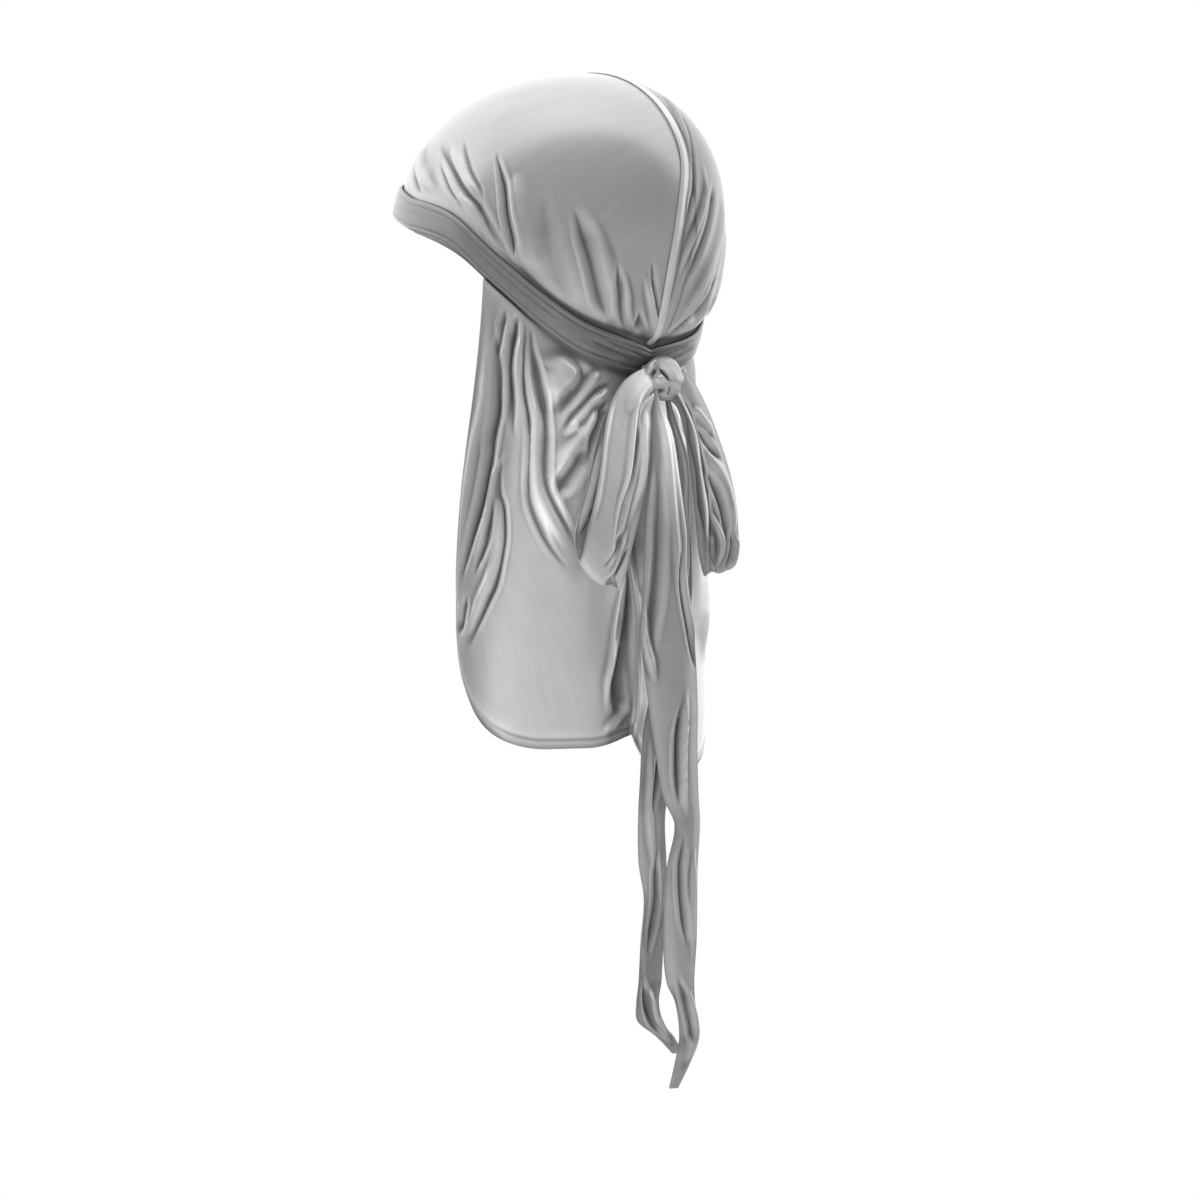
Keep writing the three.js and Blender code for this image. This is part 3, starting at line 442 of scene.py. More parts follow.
def thick_sheet(name, points, faces, normals, thickness, uv, shade):
    """A closed sheet, from the middle of its cloth, with its outer face where the normals point."""
    count = len(points)
    half = thickness[:, None] / 2
    both = np.concatenate([points + normals * half, points - normals * half])
    inner = [[k + count for k in reversed(face)] for face in faces]
    walls = [[b, a, a + count, b + count] for a, b in rim_of(faces)]
    piece = mesh_object(name, both, faces + inner + walls)
    return keep(piece, np.concatenate([uv, uv]), np.concatenate([shade, shade]))


def grid_faces(rows, columns, flip):
    ids = np.arange(rows * columns).reshape(rows, columns)
    faces = np.stack([ids[:-1, :-1], ids[:-1, 1:], ids[1:, 1:], ids[1:, :-1]], -1).reshape(-1, 4)
    return (faces[:, ::-1] if flip else faces).tolist()


def grid_uv(grid):
    """Distances along a grid's two ways, in millimetres."""
    u = np.linalg.norm(np.diff(grid, axis=0, prepend=grid[:1]), axis=-1).cumsum(0)
    v = np.linalg.norm(np.diff(grid, axis=1, prepend=grid[:, :1]), axis=-1).cumsum(1)
    return np.stack([u, v], -1)


# Scales of the relief that paints shade into creases and highlights onto ridges: passes of blur, step in
# millimetres, dark and light shares.
RELIEF_PAINTED_SHADE_SCALES = [(4, 0.14, 0.44, 0.08), (16, 0.5, 0.38, 0.26)]


def relief(grid, normals, passes):
    """How far a grid's points stand out from the cloth round them, in millimetres."""
    mean = grid
    for _ in range(passes):
        wide = np.pad(mean, ((1, 1), (1, 1), (0, 0)), mode="edge")
        mean = (2 * mean + wide[:-2, 1:-1] + wide[2:, 1:-1] + wide[1:-1, :-2] + wide[1:-1, 2:]) / 6
    out = np.einsum("ijk,ijk->ij", grid - mean, normals)
    out[[0, -1]] = 0
    out[:, [0, -1]] = 0
    return out


def shade_of(grid, normals, painted_shading):
    """The satin's painted light and shade: a piece's painted tone, creases painted dark, ridges painted
    bright.
    """
    shade = np.broadcast_to(painted_shading, grid.shape[:2])
    for passes, size, dark, light in RELIEF_PAINTED_SHADE_SCALES:
        # Painted shade in creases and painted highlights on ridges, by how far each point stands out.
        step = np.tanh(relief(grid, normals, passes) / size)
        shade = shade * (1 + np.where(step < 0, dark, light) * step)
    return shade


def ribbon(name, grid, thickness, painted_shading, flip=False):
    """A closed sheet from one grid of points."""
    normals = grid_normals(grid) * (-1 if flip else 1)
    rows, columns = grid.shape[:2]
    faces = grid_faces(rows, columns, flip)
    uv = grid_uv(grid).reshape(-1, 2)
    shade = shade_of(grid, normals, painted_shading).reshape(-1)
    thickness = np.broadcast_to(thickness, (rows, columns)).reshape(-1)
    return thick_sheet(name, grid.reshape(-1, 3), faces, normals.reshape(-1, 3), thickness, uv, shade)


# Panels
# Line along which the left panel's end tucks in beside the cape seam, past which the cloth gets painted
# shade.
TUCK_LEVELS = [1.5, 1.56, 1.65, 1.72, 1.77, 1.83, 1.9]
TUCK_ANGLES = [89, 88, 87.2, 86.6, 85, 82.8, 81.5]

FRONT_COLUMNS = 76
BACK_COLUMNS = 136
COLUMN_CROWD = 1.15
CROWN_ROWS = 112
CROWN_CROWD = 0.75
STRAP_ROWS = 6
CAPE_ROWS = 130
HEM_THICK = 1.9
HEM_CURL = 3.2
HEM_STITCH = 0.3
STITCH_WIDE = 0.9
HEM_STEP = 0.8
CURL_LEAST = 0.25
CURL_REACH = 1.6
CORNER_ANGLES = (20, 48)
# Painted light and shade on the panels: the crown darker, the cape lighter but darker at its front edge, and
# painted shade on the right crown's top, in the tuck, along the hem's rim and beside the seams.
CROWN_PAINTED_SHADE = 0.79
RIGHT_TOP_PAINTED_SHADE = 0.55
RIGHT_TOP_SHADE_LEVELS = (0.45, 0.85)
CAPE_PAINTED_LIGHT = 1.56
CAPE_EDGE_PAINTED_SHADE = 0.76
CAPE_LIGHT_ANGLES = (14, 46)
CAPE_LIGHT_LEVELS = (1, 1.25)
TUCK_PAINTED_SHADE = 0.42
TUCK_SHADE_LEVELS = (1.52, 1.68)
RIM_PAINTED_SHADE = 0.6
RIM_CORNER_PAINTED_SHADE = 0.25
RIM_WIDE = 3
RIM_CORNER_WIDE = 1.6
SEAM_PAINTED_SHADOW = 0.5
SEAM_LINE = 3.9
SEAM_LINE_WIDE = 0.9


def column_angles():
    """Columns from the forehead to the nape on the left, with one more past each seam."""
    front = np.linspace(-90, CAPE_EDGE, FRONT_COLUMNS, endpoint=False)
    back = CAPE_EDGE + (90 - CAPE_EDGE) * np.linspace(0, 1, BACK_COLUMNS + 1) ** COLUMN_CROWD
    return np.concatenate([[2 * front[0] - front[1]], front, back, [180 - back[-2]]])


def panel(name, side):
    columns = column_angles()
    angle = columns if side > 0 else 180 - columns
    near = edge_level(angle, True)
    crown_levels = near[:, None] * np.linspace(0, 1, CROWN_ROWS + 1) ** CROWN_CROWD
    crown = cloth_points(angle[:, None], crown_levels)
    upper, lower = strap_edges(angle)
    steps = np.linspace(0, 1, STRAP_ROWS + 1)[1:]
    pressed = lerp(upper[:, None], lower[:, None], steps[None, :, None])
    cape_near = edge_level(angle, False)
    cape_levels = lerp(cape_near[:, None], 2, np.linspace(0, 1, CAPE_ROWS + 1)[1:])
    cape = cloth_points(angle[:, None], cape_levels)
    grid = np.concatenate([crown, pressed, cape], 1)
    normals = grid_normals(grid) * side
    to_hem = np.full(grid.shape[:2], 99.0)
    to_hem[:, -CAPE_ROWS:] = (2 - cape_levels) * reach_at(angle, False)[:, None]
    left = left_angle(angle)
    corner = 1 - smoothstep(left, *CORNER_ANGLES)[:, None]
    curl = HEM_CURL * (CURL_LEAST + (1 - CURL_LEAST) * corner)
    curl = curl * np.maximum(0, 1 - to_hem / (CURL_REACH * HEM_WIDE)) ** 2
    stitch = HEM_STITCH * bell(to_hem, HEM_WIDE, STITCH_WIDE)
    grid = grid - normals * (curl + stitch)[..., None]
    normals = grid_normals(grid) * side
    uv = grid_uv(grid)
    thick = CLOTH + (HEM_THICK - CLOTH) * smoothstep(-to_hem, -HEM_WIDE - HEM_STEP, -HEM_WIDE)
    # Painted light and shade: the crown darker and the cape lighter, darker again at its front edge.
    painted_shading = np.full(grid.shape[:2], CROWN_PAINTED_SHADE)
    cape_painted_light = lerp(CAPE_EDGE_PAINTED_SHADE, CAPE_PAINTED_LIGHT, smoothstep(left, *CAPE_LIGHT_ANGLES))[:, None]
    painted_shading[:, -CAPE_ROWS:] = lerp(CROWN_PAINTED_SHADE, cape_painted_light, smoothstep(cape_levels, *CAPE_LIGHT_LEVELS))
    # Painted shade along the hem's rim, wider and darker at the front corner.
    rim = bell(to_hem, 0, RIM_WIDE + RIM_CORNER_WIDE * corner)
    painted_shading = painted_shading * (1 - (RIM_PAINTED_SHADE + RIM_CORNER_PAINTED_SHADE * corner) * rim)
    if side > 0:
        # Painted shade in the tuck beside the cape seam, on the left panel.
        line = np.interp(cape_levels, TUCK_LEVELS, TUCK_ANGLES)
        tuck_shade = smoothstep(angle[:, None], line - 1, line + 1.5) * smoothstep(cape_levels, *TUCK_SHADE_LEVELS)
        painted_shading[:, -CAPE_ROWS:] *= 1 - TUCK_PAINTED_SHADE * tuck_shade
    else:
        # Painted shade on the upper crown of the right panel, darkest at the top.
        painted_shading[:, :CROWN_ROWS + 1] *= lerp(RIGHT_TOP_PAINTED_SHADE, 1, smoothstep(crown_levels, *RIGHT_TOP_SHADE_LEVELS))
    # Painted shadow in lines beside the seams down the middle, on both panels.
    painted_shading = painted_shading * (1 - SEAM_PAINTED_SHADOW * bell(np.abs(grid[..., 0]), SEAM_LINE, SEAM_LINE_WIDE))
    shade = shade_of(grid, normals, painted_shading)
    grid, normals, uv, thick, shade = (part[1:-1] for part in (grid, normals, uv, thick, shade))
    last = CROWN_ROWS + STRAP_ROWS
    rows_of = [grid.shape[1] if column >= CAPE_EDGE else last + 1 for column in columns[1:-1]]
    ids = -np.ones(grid.shape[:2], int)
    ids[:, 0] = 0
    used = 1
    order = [(0, 0)]
    for i, rows in enumerate(rows_of):
        ids[i, 1:rows] = np.arange(used, used + rows - 1)
        order += [(i, j) for j in range(1, rows)]
        used += rows - 1
    faces = []
    for i in range(len(rows_of) - 1):
        for j in range(min(rows_of[i], rows_of[i + 1]) - 1):
            a, b, c, d = ids[i, j], ids[i, j + 1], ids[i + 1, j + 1], ids[i + 1, j]
            face = [a, b, c] if j == 0 else [a, b, c, d]
            faces.append([int(k) for k in (face if side > 0 else face[::-1])])
    pick = tuple(np.array(order).T)
    normals[0, 0] = (0, 0, 1)
    points = grid[pick] + (side * SEAM_GAP / 2, 0, 0)
    return thick_sheet(name, points, faces, normals[pick], thick[pick], uv[pick], shade[pick])


# Straps
STRAP_SHAPE = table("angle wide", [(-90, 0.95), (0, 1), (60, 1), (90, 0.8)])
STRAP_COLUMNS = 260
STRAP_ACROSS = 34
STRAP_PAINTED_SHADE = 0.41
STRAP_END_PAINTED_SHADE = 0.31
STRAP_SHADE_ANGLES = (30, 88)
STRAP_EDGE_RAISE = 0.35
STRAP_ROLL = (0.86, 0.09)
STRAP_GROOVE = (0.66, 0.08)
STRAP_GROOVE_SHARE = 0.6
STRAP_EDGE_THIN = 0.5


def strap_frame(angle):
    """Middle of the cloth under the strap, and the ways along its width and out from it."""
    def middle(at):
        upper, lower = strap_edges(at)
        return (upper + lower) / 2
    upper, lower = strap_edges(angle)
    up = unit(upper - lower)
    out = unit(np.cross(middle(angle + 1) - middle(angle - 1), up))
    return middle(angle), up, out


# Creases along a strap: stops by angle and place across it, width in degrees and height in millimetres.
STRAP_CREASES = [
    ([(52, 0.15), (66, -0.05), (82, -0.35)], 0.16, -0.9),
    ([(60, 0.5), (74, 0.35), (88, 0.1)], 0.14, -0.6),
    ([(46, -0.3), (60, -0.42), (76, -0.55)], 0.12, 0.4),
    ([(-60, 0.1), (-30, 0.2), (0, 0.05)], 0.2, -0.25),
    ([(5, 0.3), (25, 0.15), (45, 0.3)], 0.16, -0.3),
]


def crease(strip, stops, wide, high):
    """A crease drawn on a strip by its places along and across it."""
    stops = np.array(stops, float)
    rows = {"at": stops[:, 0], "across": stops[:, 1]}
    at = strip[..., 0]
    middle = along(rows, "at", "across", np.clip(at, stops[0, 0], stops[-1, 0]))
    span = stops[-1, 0] - stops[0, 0]
    inside = np.minimum(at - stops[0, 0], stops[-1, 0] - at) / span
    return high * smoothstep(inside, 0, 0.3) * bell(strip[..., 1], middle, wide)


def strap(name, side):
    column = np.linspace(-90, 90, STRAP_COLUMNS + 1)
    angle = column if side > 0 else 180 - column
    middle, up, out = strap_frame(angle)
    half = along(STRAP_SHAPE, "angle", "wide", column) * STRAP_WIDE / 2
    flare = STRAP_FLARE * smoothstep(-column, 0, FLARE_END)
    w = np.linspace(-1, 1, STRAP_ACROSS + 1)
    lift = STRAP_LIFT + STRAP_CROWN * (1 - w * w) + flare[:, None] * (1 - w) / 2
    grid = middle[:, None] + up[:, None] * (w * half[:, None])[..., None] + out[:, None] * lift[..., None]
    normals = grid_normals(grid) * -side
    strip = np.stack(np.broadcast_arrays(column[:, None], w), -1)
    for stops, wide, high in STRAP_CREASES:
        grid = grid + normals * crease(strip, stops, wide, high)[..., None]
    rolled = STRAP_EDGE_RAISE * bell(np.abs(w), *STRAP_ROLL)
    groove = STRAP_GROOVE_SHARE * STRAP_EDGE_RAISE * bell(np.abs(w), *STRAP_GROOVE)
    grid = grid + normals * (rolled - groove)[..., None]
    grid[[0, -1], :, 0] = 0
    grid[..., 0] += side * SEAM_GAP / 2
    edge = 1 - STRAP_EDGE_THIN * np.abs(w) ** 6
    # Painted shade: the straps darker than the crown, and darker still towards the knot.
    painted_shading = lerp(STRAP_PAINTED_SHADE, STRAP_END_PAINTED_SHADE, smoothstep(column, *STRAP_SHADE_ANGLES))[:, None]
    return ribbon(name, grid, STRAP_THICK * edge, flip=side > 0, painted_shading=painted_shading)


# Seams
SEAM_WIDE = 5
SEAM_THICK = 1.0
SEAM_RAISE = 0.1
SEAM_PAINTED_LIGHT = 1.1
SEAM_RIDGE = 0.5
SEAM_RIDGE_AT = 0.3
SEAM_RIDGE_WIDE = 0.35
SEAM_LEAN = 0.3
SEAM_TOP = 0.02
CAPE_SEAM_END = 1.97
FRONT_SEAM_STEPS = 70
BACK_SEAM_STEPS = 110
SEAM_ACROSS = 15


def seam_path(column, levels):
    """Points and normals of the cloth down one seam."""
    fan = np.array([column - 0.5, column, column + 0.5])[:, None]
    grid = cloth_points(fan, np.broadcast_to(levels, (3, len(levels))))
    normals = grid_normals(grid)[1] * np.sign(levels[-1] - levels[0])
    normals[:, 0] *= SEAM_LEAN
    return grid[1], unit(normals)


def seam_strip(name, points, normals):
    """A raised strip along a path of the cloth, with its ridge off its middle."""
    across = unit(np.cross(np.gradient(points, axis=0), normals))
    w = np.linspace(-1, 1, SEAM_ACROSS)
    ridge = SEAM_RIDGE * bell(w, SEAM_RIDGE_AT, SEAM_RIDGE_WIDE)
    lift = CLOTH / 2 + SEAM_RAISE + SEAM_THICK / 2 + ridge - SEAM_RIDGE * w ** 4
    wide = across[:, None] * (w * SEAM_WIDE / 2)[None, :, None]
    grid = points[:, None] + wide + normals[:, None] * lift[None, :, None]
    # Painted light: the seam strips lighter than the crown around them.
    return ribbon(name, grid, SEAM_THICK, painted_shading=SEAM_PAINTED_LIGHT)


def centre_seam():
    front = np.linspace(float(edge_level(-90, True)), SEAM_TOP, FRONT_SEAM_STEPS)
    back = np.linspace(SEAM_TOP, float(edge_level(90, True)), BACK_SEAM_STEPS)
    front_points, front_normals = seam_path(-90, front)
    back_points, back_normals = seam_path(90, back)
    points = np.concatenate([front_points, back_points])
    normals = np.concatenate([front_normals, back_normals])
    return seam_strip("centre_seam_strip", points, normals)


def cape_seam():
    levels = np.linspace(float(edge_level(90, False)), CAPE_SEAM_END, BACK_SEAM_STEPS)
    points, normals = seam_path(90, levels)
    return seam_strip("cape_seam_strip", points, normals)


# Knot, loops and tails
KNOT_WIDE = 30
KNOT_TALL = 27
KNOT_DEEP = 17
KNOT_AT = np.array([-4.0, 62.5, -174.8])
TIE_THICK = 1.1
LOOP_DROP = 118
LOOP_WIDE = 31
LOOP_DEEP = 14
LEFT_LOOP_ANGLE = 78
RIGHT_LOOP_ANGLE = 90
TAIL_DROP = 397
TAIL_WIDE = 34
LOOP_STEPS = 230
LOOP_ACROSS_STEPS = 56
TAIL_STEPS = 330
TAIL_ACROSS_STEPS = 36
LOOP_PAINTED_LIGHT = 1.36
LOOP_LOW_PAINTED_SHADE = 0.72
LOOP_LOW = (0.25, 0.48)
LOOP_INNER = (-0.95, -0.3)
LOOP_CORNER_REACH = 0.11
LOOP_SWING_REACH = 0.16
RIGHT_LOOP_PAINTED_SHADE = 0.9
LEFT_TAIL_TOP_PAINTED_LIGHT = 1.55
RIGHT_TAIL_TOP_PAINTED_LIGHT = 0.95
TAIL_PAINTED_SHADE = 0.74
TAIL_TOP = (0.06, 0.24)
KNOT_SHADOW = 0.45
KNOT_SHADOW_REACH = (0.02, 0.075)
TAIL_SPREAD = 0.24
TAIL_SHIFT_REACH = 0.07
RIBBON_EDGE_PAINTED_SHADE = 0.35
RIBBON_EDGE = 0.07
TAIL_PINCH = 0.35
LEFT_LOOP_CORNER = (17, 9)
RIGHT_LOOP_CORNER = (8, 1)
LEFT_TAIL_SHIFT = 9

# Folds of the knot's front. Stops run from -1 to 1 across it and up it, and the rest is as for the cloth.
KNOT_FOLDS = [
    ([(-0.22, 0.85), (-0.42, 0.35), (-0.66, -0.2), (-0.85, -0.5)], 0.13, 0.13, 0.4),
    ([(-0.2, 0.86), (0.12, 0.62), (0.5, 0.28), (0.93, -0.12)], 0.16, 0.14, 0.42),
    ([(-0.6, -0.3), (-0.32, 0.08), (-0.08, 0.42)], 0.1, 0.1, -0.35, 0.6),
    ([(0.02, 0.42), (0.32, 0.12), (0.62, -0.2)], 0.09, 0.09, -0.28, 0.5),
    ([(0.0, 0.1), (0.1, -0.15), (0.05, -0.4)], 0.3, 0.3, 0.15),
    ([(-0.5, -0.5), (-0.1, -0.62), (0.35, -0.55)], 0.12, 0.12, -0.25, 0.4),
    ([(-0.42, 0.75), (-0.6, 0.45), (-0.75, 0.1), (-0.9, -0.2)], 0.09, 0.09, -0.35, 0.6),
    ([(-0.75, 0.55), (-0.88, 0.35), (-0.93, 0.1)], 0.1, 0.1, 0.22),
    ([(0.55, -0.35), (0.5, -0.6), (0.35, -0.8)], 0.1, 0.1, -0.16, 0.5),
]
KNOT_TURNS = 150
KNOT_ROWS = 110
KNOT_SIZE = np.array([KNOT_WIDE / 2, KNOT_DEEP / 2, KNOT_TALL / 2]) * 0.94
KNOT_FRONT = np.array([1, 1, 0]) / math.sqrt(2)
KNOT_SIDE = np.array([-1, 1, 0]) / math.sqrt(2)
KNOT_PAINTED_LIGHT = 0.96
KNOT_WAVES = 9
KNOT_GATHER = 0.45
KNOT_RELIEF = 0.9
KNOT_CREASE_PAINTED_SHADE = 0.75
KNOT_RIDGE_PAINTED_HIGHLIGHT = 0.3


def knot_point(across, up):
    """A point on the front of the knot."""
    long = np.maximum(1, np.hypot(across, up) / 0.98)
    across, up = across / long, up / long
    deep = np.sqrt(np.maximum(0, 1 - across ** 2 - up ** 2))
    way = across[..., None] * KNOT_SIDE + up[..., None] * np.array([0, 0, 1]) + deep[..., None] * KNOT_FRONT
    return KNOT_AT + way * KNOT_SIZE


def knot():
    """A small lump of cloth drawn tight, with a band across its front and gathers round it."""
    u = np.linspace(0, 2 * np.pi, KNOT_TURNS, endpoint=False)[:, None]
    v = np.linspace(0, np.pi, KNOT_ROWS + 1)[None, 1:-1]
    ball = np.stack(np.broadcast_arrays(np.sin(v) * np.cos(u), np.sin(v) * np.sin(u), np.cos(v)), -1)
    grid = KNOT_AT + ball * KNOT_SIZE
    normals = unit(ball / KNOT_SIZE)
    front = smoothstep(ball @ KNOT_FRONT, -0.2, 0.3)
    gathers = KNOT_GATHER * np.cos(KNOT_WAVES * (ball[..., 2] + 0.7 * (ball @ KNOT_SIDE))) * np.sin(v)
    lift = gathers * (1 - 0.7 * front)
    for row in KNOT_FOLDS:
        lift = lift + front * fold_lift(row, grid, normals, knot_point)
    grid = grid + normals * lift[..., None]
    count = KNOT_ROWS - 1
    ends = [KNOT_AT + (0, 0, KNOT_SIZE[2]), KNOT_AT - (0, 0, KNOT_SIZE[2])]
    points = np.concatenate([grid.reshape(-1, 3), ends])
    faces = []
    for k in range(KNOT_TURNS):
        n = (k + 1) % KNOT_TURNS
        for j in range(count - 1):
            faces.append([k * count + j, k * count + j + 1, n * count + j + 1, n * count + j])
        faces.append([KNOT_TURNS * count, k * count, n * count])
        faces.append([KNOT_TURNS * count + 1, n * count + count - 1, k * count + count - 1])
    # Painted shade in the knot's creases and painted highlights on its raised strands, over a painted tone
    # lighter than the crown.
    step = np.tanh(lift / KNOT_RELIEF)
    shade = KNOT_PAINTED_LIGHT * (1 + np.where(step < 0, KNOT_CREASE_PAINTED_SHADE, KNOT_RIDGE_PAINTED_HIGHLIGHT) * step)
    shade = np.append(shade.reshape(-1), [KNOT_PAINTED_LIGHT, KNOT_PAINTED_LIGHT])
    uv = np.stack(np.broadcast_arrays(u * KNOT_WIDE / 2, v * KNOT_TALL / 2), -1).reshape(-1, 2)
    uv = np.concatenate([uv, [[0, 0], [0, KNOT_TALL]]])
    return keep(mesh_object("knot_cloth", points, faces), uv, shade)


LOOP_COLUMNS = "at side out drop wide lean"
LEFT_LOOP = table(LOOP_COLUMNS, [
    (0, 0.1, 0.1, 0.01, 0.34, 75),
    (0.06, 0.42, 0.16, 0.02, 0.52, 62),
    (0.13, 0.8, 0.2, 0.11, 0.8, 40),
    (0.22, 1.02, 0.22, 0.27, 0.97, 14),
    (0.34, 1.08, 0.22, 0.55, 1, 3),
    (0.45, 1.19, 0.2, 0.86, 0.9, -3),
    (0.5, 1.22, -0.12, 1, 0.86, -4),
    (0.55, 1.2, -0.45, 0.86, 0.9, -3),
    (0.7, 1.07, -0.5, 0.5, 0.9, 3),
    (0.84, 0.9, -0.4, 0.22, 0.72, 20),
    (0.93, 0.5, -0.3, 0.07, 0.5, 45),
    (1, 0.1, -0.2, 0.05, 0.3, 60),
])
RIGHT_LOOP = table(LOOP_COLUMNS, [
    (0, 0.1, 0.1, 0.01, 0.34, 75),
    (0.06, 0.36, 0.2, 0.02, 0.46, 66),
    (0.14, 0.62, 0.3, 0.12, 0.6, 56),
    (0.24, 0.93, 0.36, 0.31, 0.75, 34),
    (0.34, 1.19, 0.4, 0.54, 0.9, 18),
    (0.45, 1.34, 0.4, 0.82, 0.85, 6),
    (0.5, 1.37, 0.2, 0.93, 0.8, 0),
    (0.55, 1.37, -0.02, 0.82, 0.85, 6),
    (0.68, 1.24, -0.06, 0.52, 0.85, 16),
    (0.82, 0.96, -0.06, 0.27, 0.7, 34),
    (0.92, 0.56, -0.1, 0.09, 0.45, 56),
    (1, 0.1, -0.1, 0.05, 0.3, 66),
])
TAIL_COLUMNS = "drop side out wide turn curl"
LEFT_TAIL = table(TAIL_COLUMNS, [
    (0.005, 0, 0.1, 0.25, 80, 0.05),
    (0.045, 0.1, 0.24, 0.3, 78, 0.12),
    (0.1, 0.17, 0.36, 0.46, 76, 0.2),
    (0.18, 0.22, 0.5, 0.62, 74, 0.16),
    (0.28, 0.25, 0.64, 0.82, 74, 0.1),
    (0.36, 0.17, 0.58, 1, 74, 0.1),
    (0.46, -0.01, 0.52, 0.92, 74, 0.14),
    (0.52, -0.08, 0.5, 0.8, 74, 0.12),
    (0.59, -0.19, 0.5, 0.66, 74, 0.1),
    (0.63, -0.34, 0.5, 0.46, 72, 0.1),
    (0.69, -0.22, 0.5, 0.56, 72, 0.1),
    (0.79, -0.17, 0.5, 0.6, 70, 0.12),
    (0.85, -0.19, 0.46, 0.48, 66, 0.1),
    (0.88, -0.31, 0.42, 0.33, 62, 0.06),
    (0.93, -0.41, 0.4, 0.31, 58, 0.06),
    (0.965, -0.26, 0.4, 0.25, 58, 0.04),
    (1, -0.04, 0.4, 0.14, 60, 0.03),
])
RIGHT_TAIL = table(TAIL_COLUMNS, [
    (0.005, -0.14, -0.18, 0.2, 90, 0.03),
    (0.05, -0.36, -0.34, 0.26, 90, 0.05),
    (0.1, -0.54, -0.36, 0.34, 90, 0.06),
    (0.17, -0.6, -0.36, 0.45, 90, 0.06),
    (0.28, -0.6, -0.34, 0.55, 88, 0.06),
    (0.39, -0.4, -0.26, 0.62, 84, 0.06),
    (0.5, 0, -0.16, 0.62, 78, 0.06),
    (0.57, 0.11, -0.14, 0.56, 74, 0.06),
    (0.62, 0.19, -0.14, 0.49, 72, 0.06),
    (0.68, 0.12, -0.24, 0.5, 70, 0.06),
    (0.735, 0.01, -0.32, 0.42, 70, 0.04),
    (0.79, 0.11, -0.3, 0.42, 74, -0.04),
    (0.85, 0.23, -0.2, 0.45, 80, -0.08),
    (0.88, 0.32, -0.12, 0.42, 76, -0.06),
    (0.905, 0.26, -0.1, 0.44, 70, -0.04),
    (0.93, -0.1, -0.1, 0.3, 66, -0.02),
    (0.955, -0.4, -0.1, 0.2, 62, 0),
])
LOOP_ACROSS = table("at lift", [(-1, 0.05), (-0.6, -0.2), (-0.1, 0.04), (0.5, 0.08), (1, 0)])


def level_across(turn):
    turn = np.radians(turn)
    return np.stack([np.sin(turn), -np.cos(turn), np.zeros_like(turn)], -1)


# Folds of the loops and tails: stops by place along and across, and the rest as for the cloth.
LEFT_LOOP_FOLDS = [
    ([(0.14, -0.3), (0.22, -0.46), (0.3, -0.42), (0.37, -0.26), (0.44, -0.3)], 0.16, 0.3, -0.62, 0.4),
    ([(0.12, -0.75), (0.2, -0.78), (0.3, -0.85), (0.4, -0.7)], 0.25, 0.2, 0.3),
    ([(0.1, -0.06), (0.2, -0.2), (0.3, -0.18), (0.4, 0.0)], 0.2, 0.2, 0.22),
    ([(0.04, -0.2), (0.1, 0.0), (0.18, 0.15)], 0.45, 0.4, 0.25),
    ([(0.02, -0.5), (0.05, -0.7), (0.1, -0.62)], 0.1, 0.1, -0.3, 0.5),
    ([(0.16, 0.92), (0.3, 0.95), (0.42, 0.9)], 0.2, 0.2, 0.25),
    ([(0.4, -0.5), (0.43, -0.42), (0.455, -0.2), (0.472, 0.15)], 0.16, 0.14, -0.22, 0.4),
    ([(0.4, -0.72), (0.44, -0.62), (0.468, -0.4), (0.485, -0.05)], 0.14, 0.14, 0.26),
    ([(0.43, -0.86), (0.46, -0.74), (0.485, -0.5)], 0.1, 0.1, -0.22, 0.4),
    ([(0.56, 0.8), (0.66, 0.7), (0.8, 0.62)], 0.2, 0.2, -0.45, 0.3),
    ([(0.58, 0.3), (0.7, 0.2), (0.84, 0.1)], 0.3, 0.3, 0.35),
    ([(0.56, -0.4), (0.7, -0.3), (0.86, -0.2)], 0.3, 0.3, -0.4, 0.3),
]
RIGHT_LOOP_FOLDS = [
    ([(0.08, -0.8), (0.2, -0.88), (0.34, -0.88), (0.46, -0.85)], 0.2, 0.24, 0.3),
    ([(0.1, -0.4), (0.2, -0.56), (0.28, -0.5), (0.36, -0.6), (0.45, -0.55)], 0.16, 0.24, -0.6, 0.4),
    ([(0.14, -0.1), (0.19, 0.3), (0.24, 0.7)], 0.24, 0.24, 0.3),
    ([(0.19, -0.35), (0.24, 0.1), (0.29, 0.6)], 0.2, 0.24, -0.35, 0.3),
    ([(0.25, -0.2), (0.31, 0.35), (0.38, 0.6), (0.44, 0.5)], 0.4, 0.4, 0.4),
    ([(0.28, -0.4), (0.35, 0.05), (0.41, 0.2), (0.47, 0.1)], 0.25, 0.2, -0.5, 0.4),
    ([(0.37, -0.42), (0.43, -0.15), (0.48, -0.25)], 0.2, 0.16, 0.5),
    ([(0.42, 0.5), (0.46, 0.45), (0.49, 0.15)], 0.16, 0.14, -0.45, 0.4),
    ([(0.43, 0.75), (0.47, 0.7), (0.5, 0.4)], 0.16, 0.16, 0.35),
    ([(0.56, 0.5), (0.7, 0.3), (0.84, 0.2)], 0.3, 0.3, -0.4, 0.3),
    ([(0.56, -0.3), (0.7, -0.2), (0.84, -0.2)], 0.3, 0.3, 0.35),
]
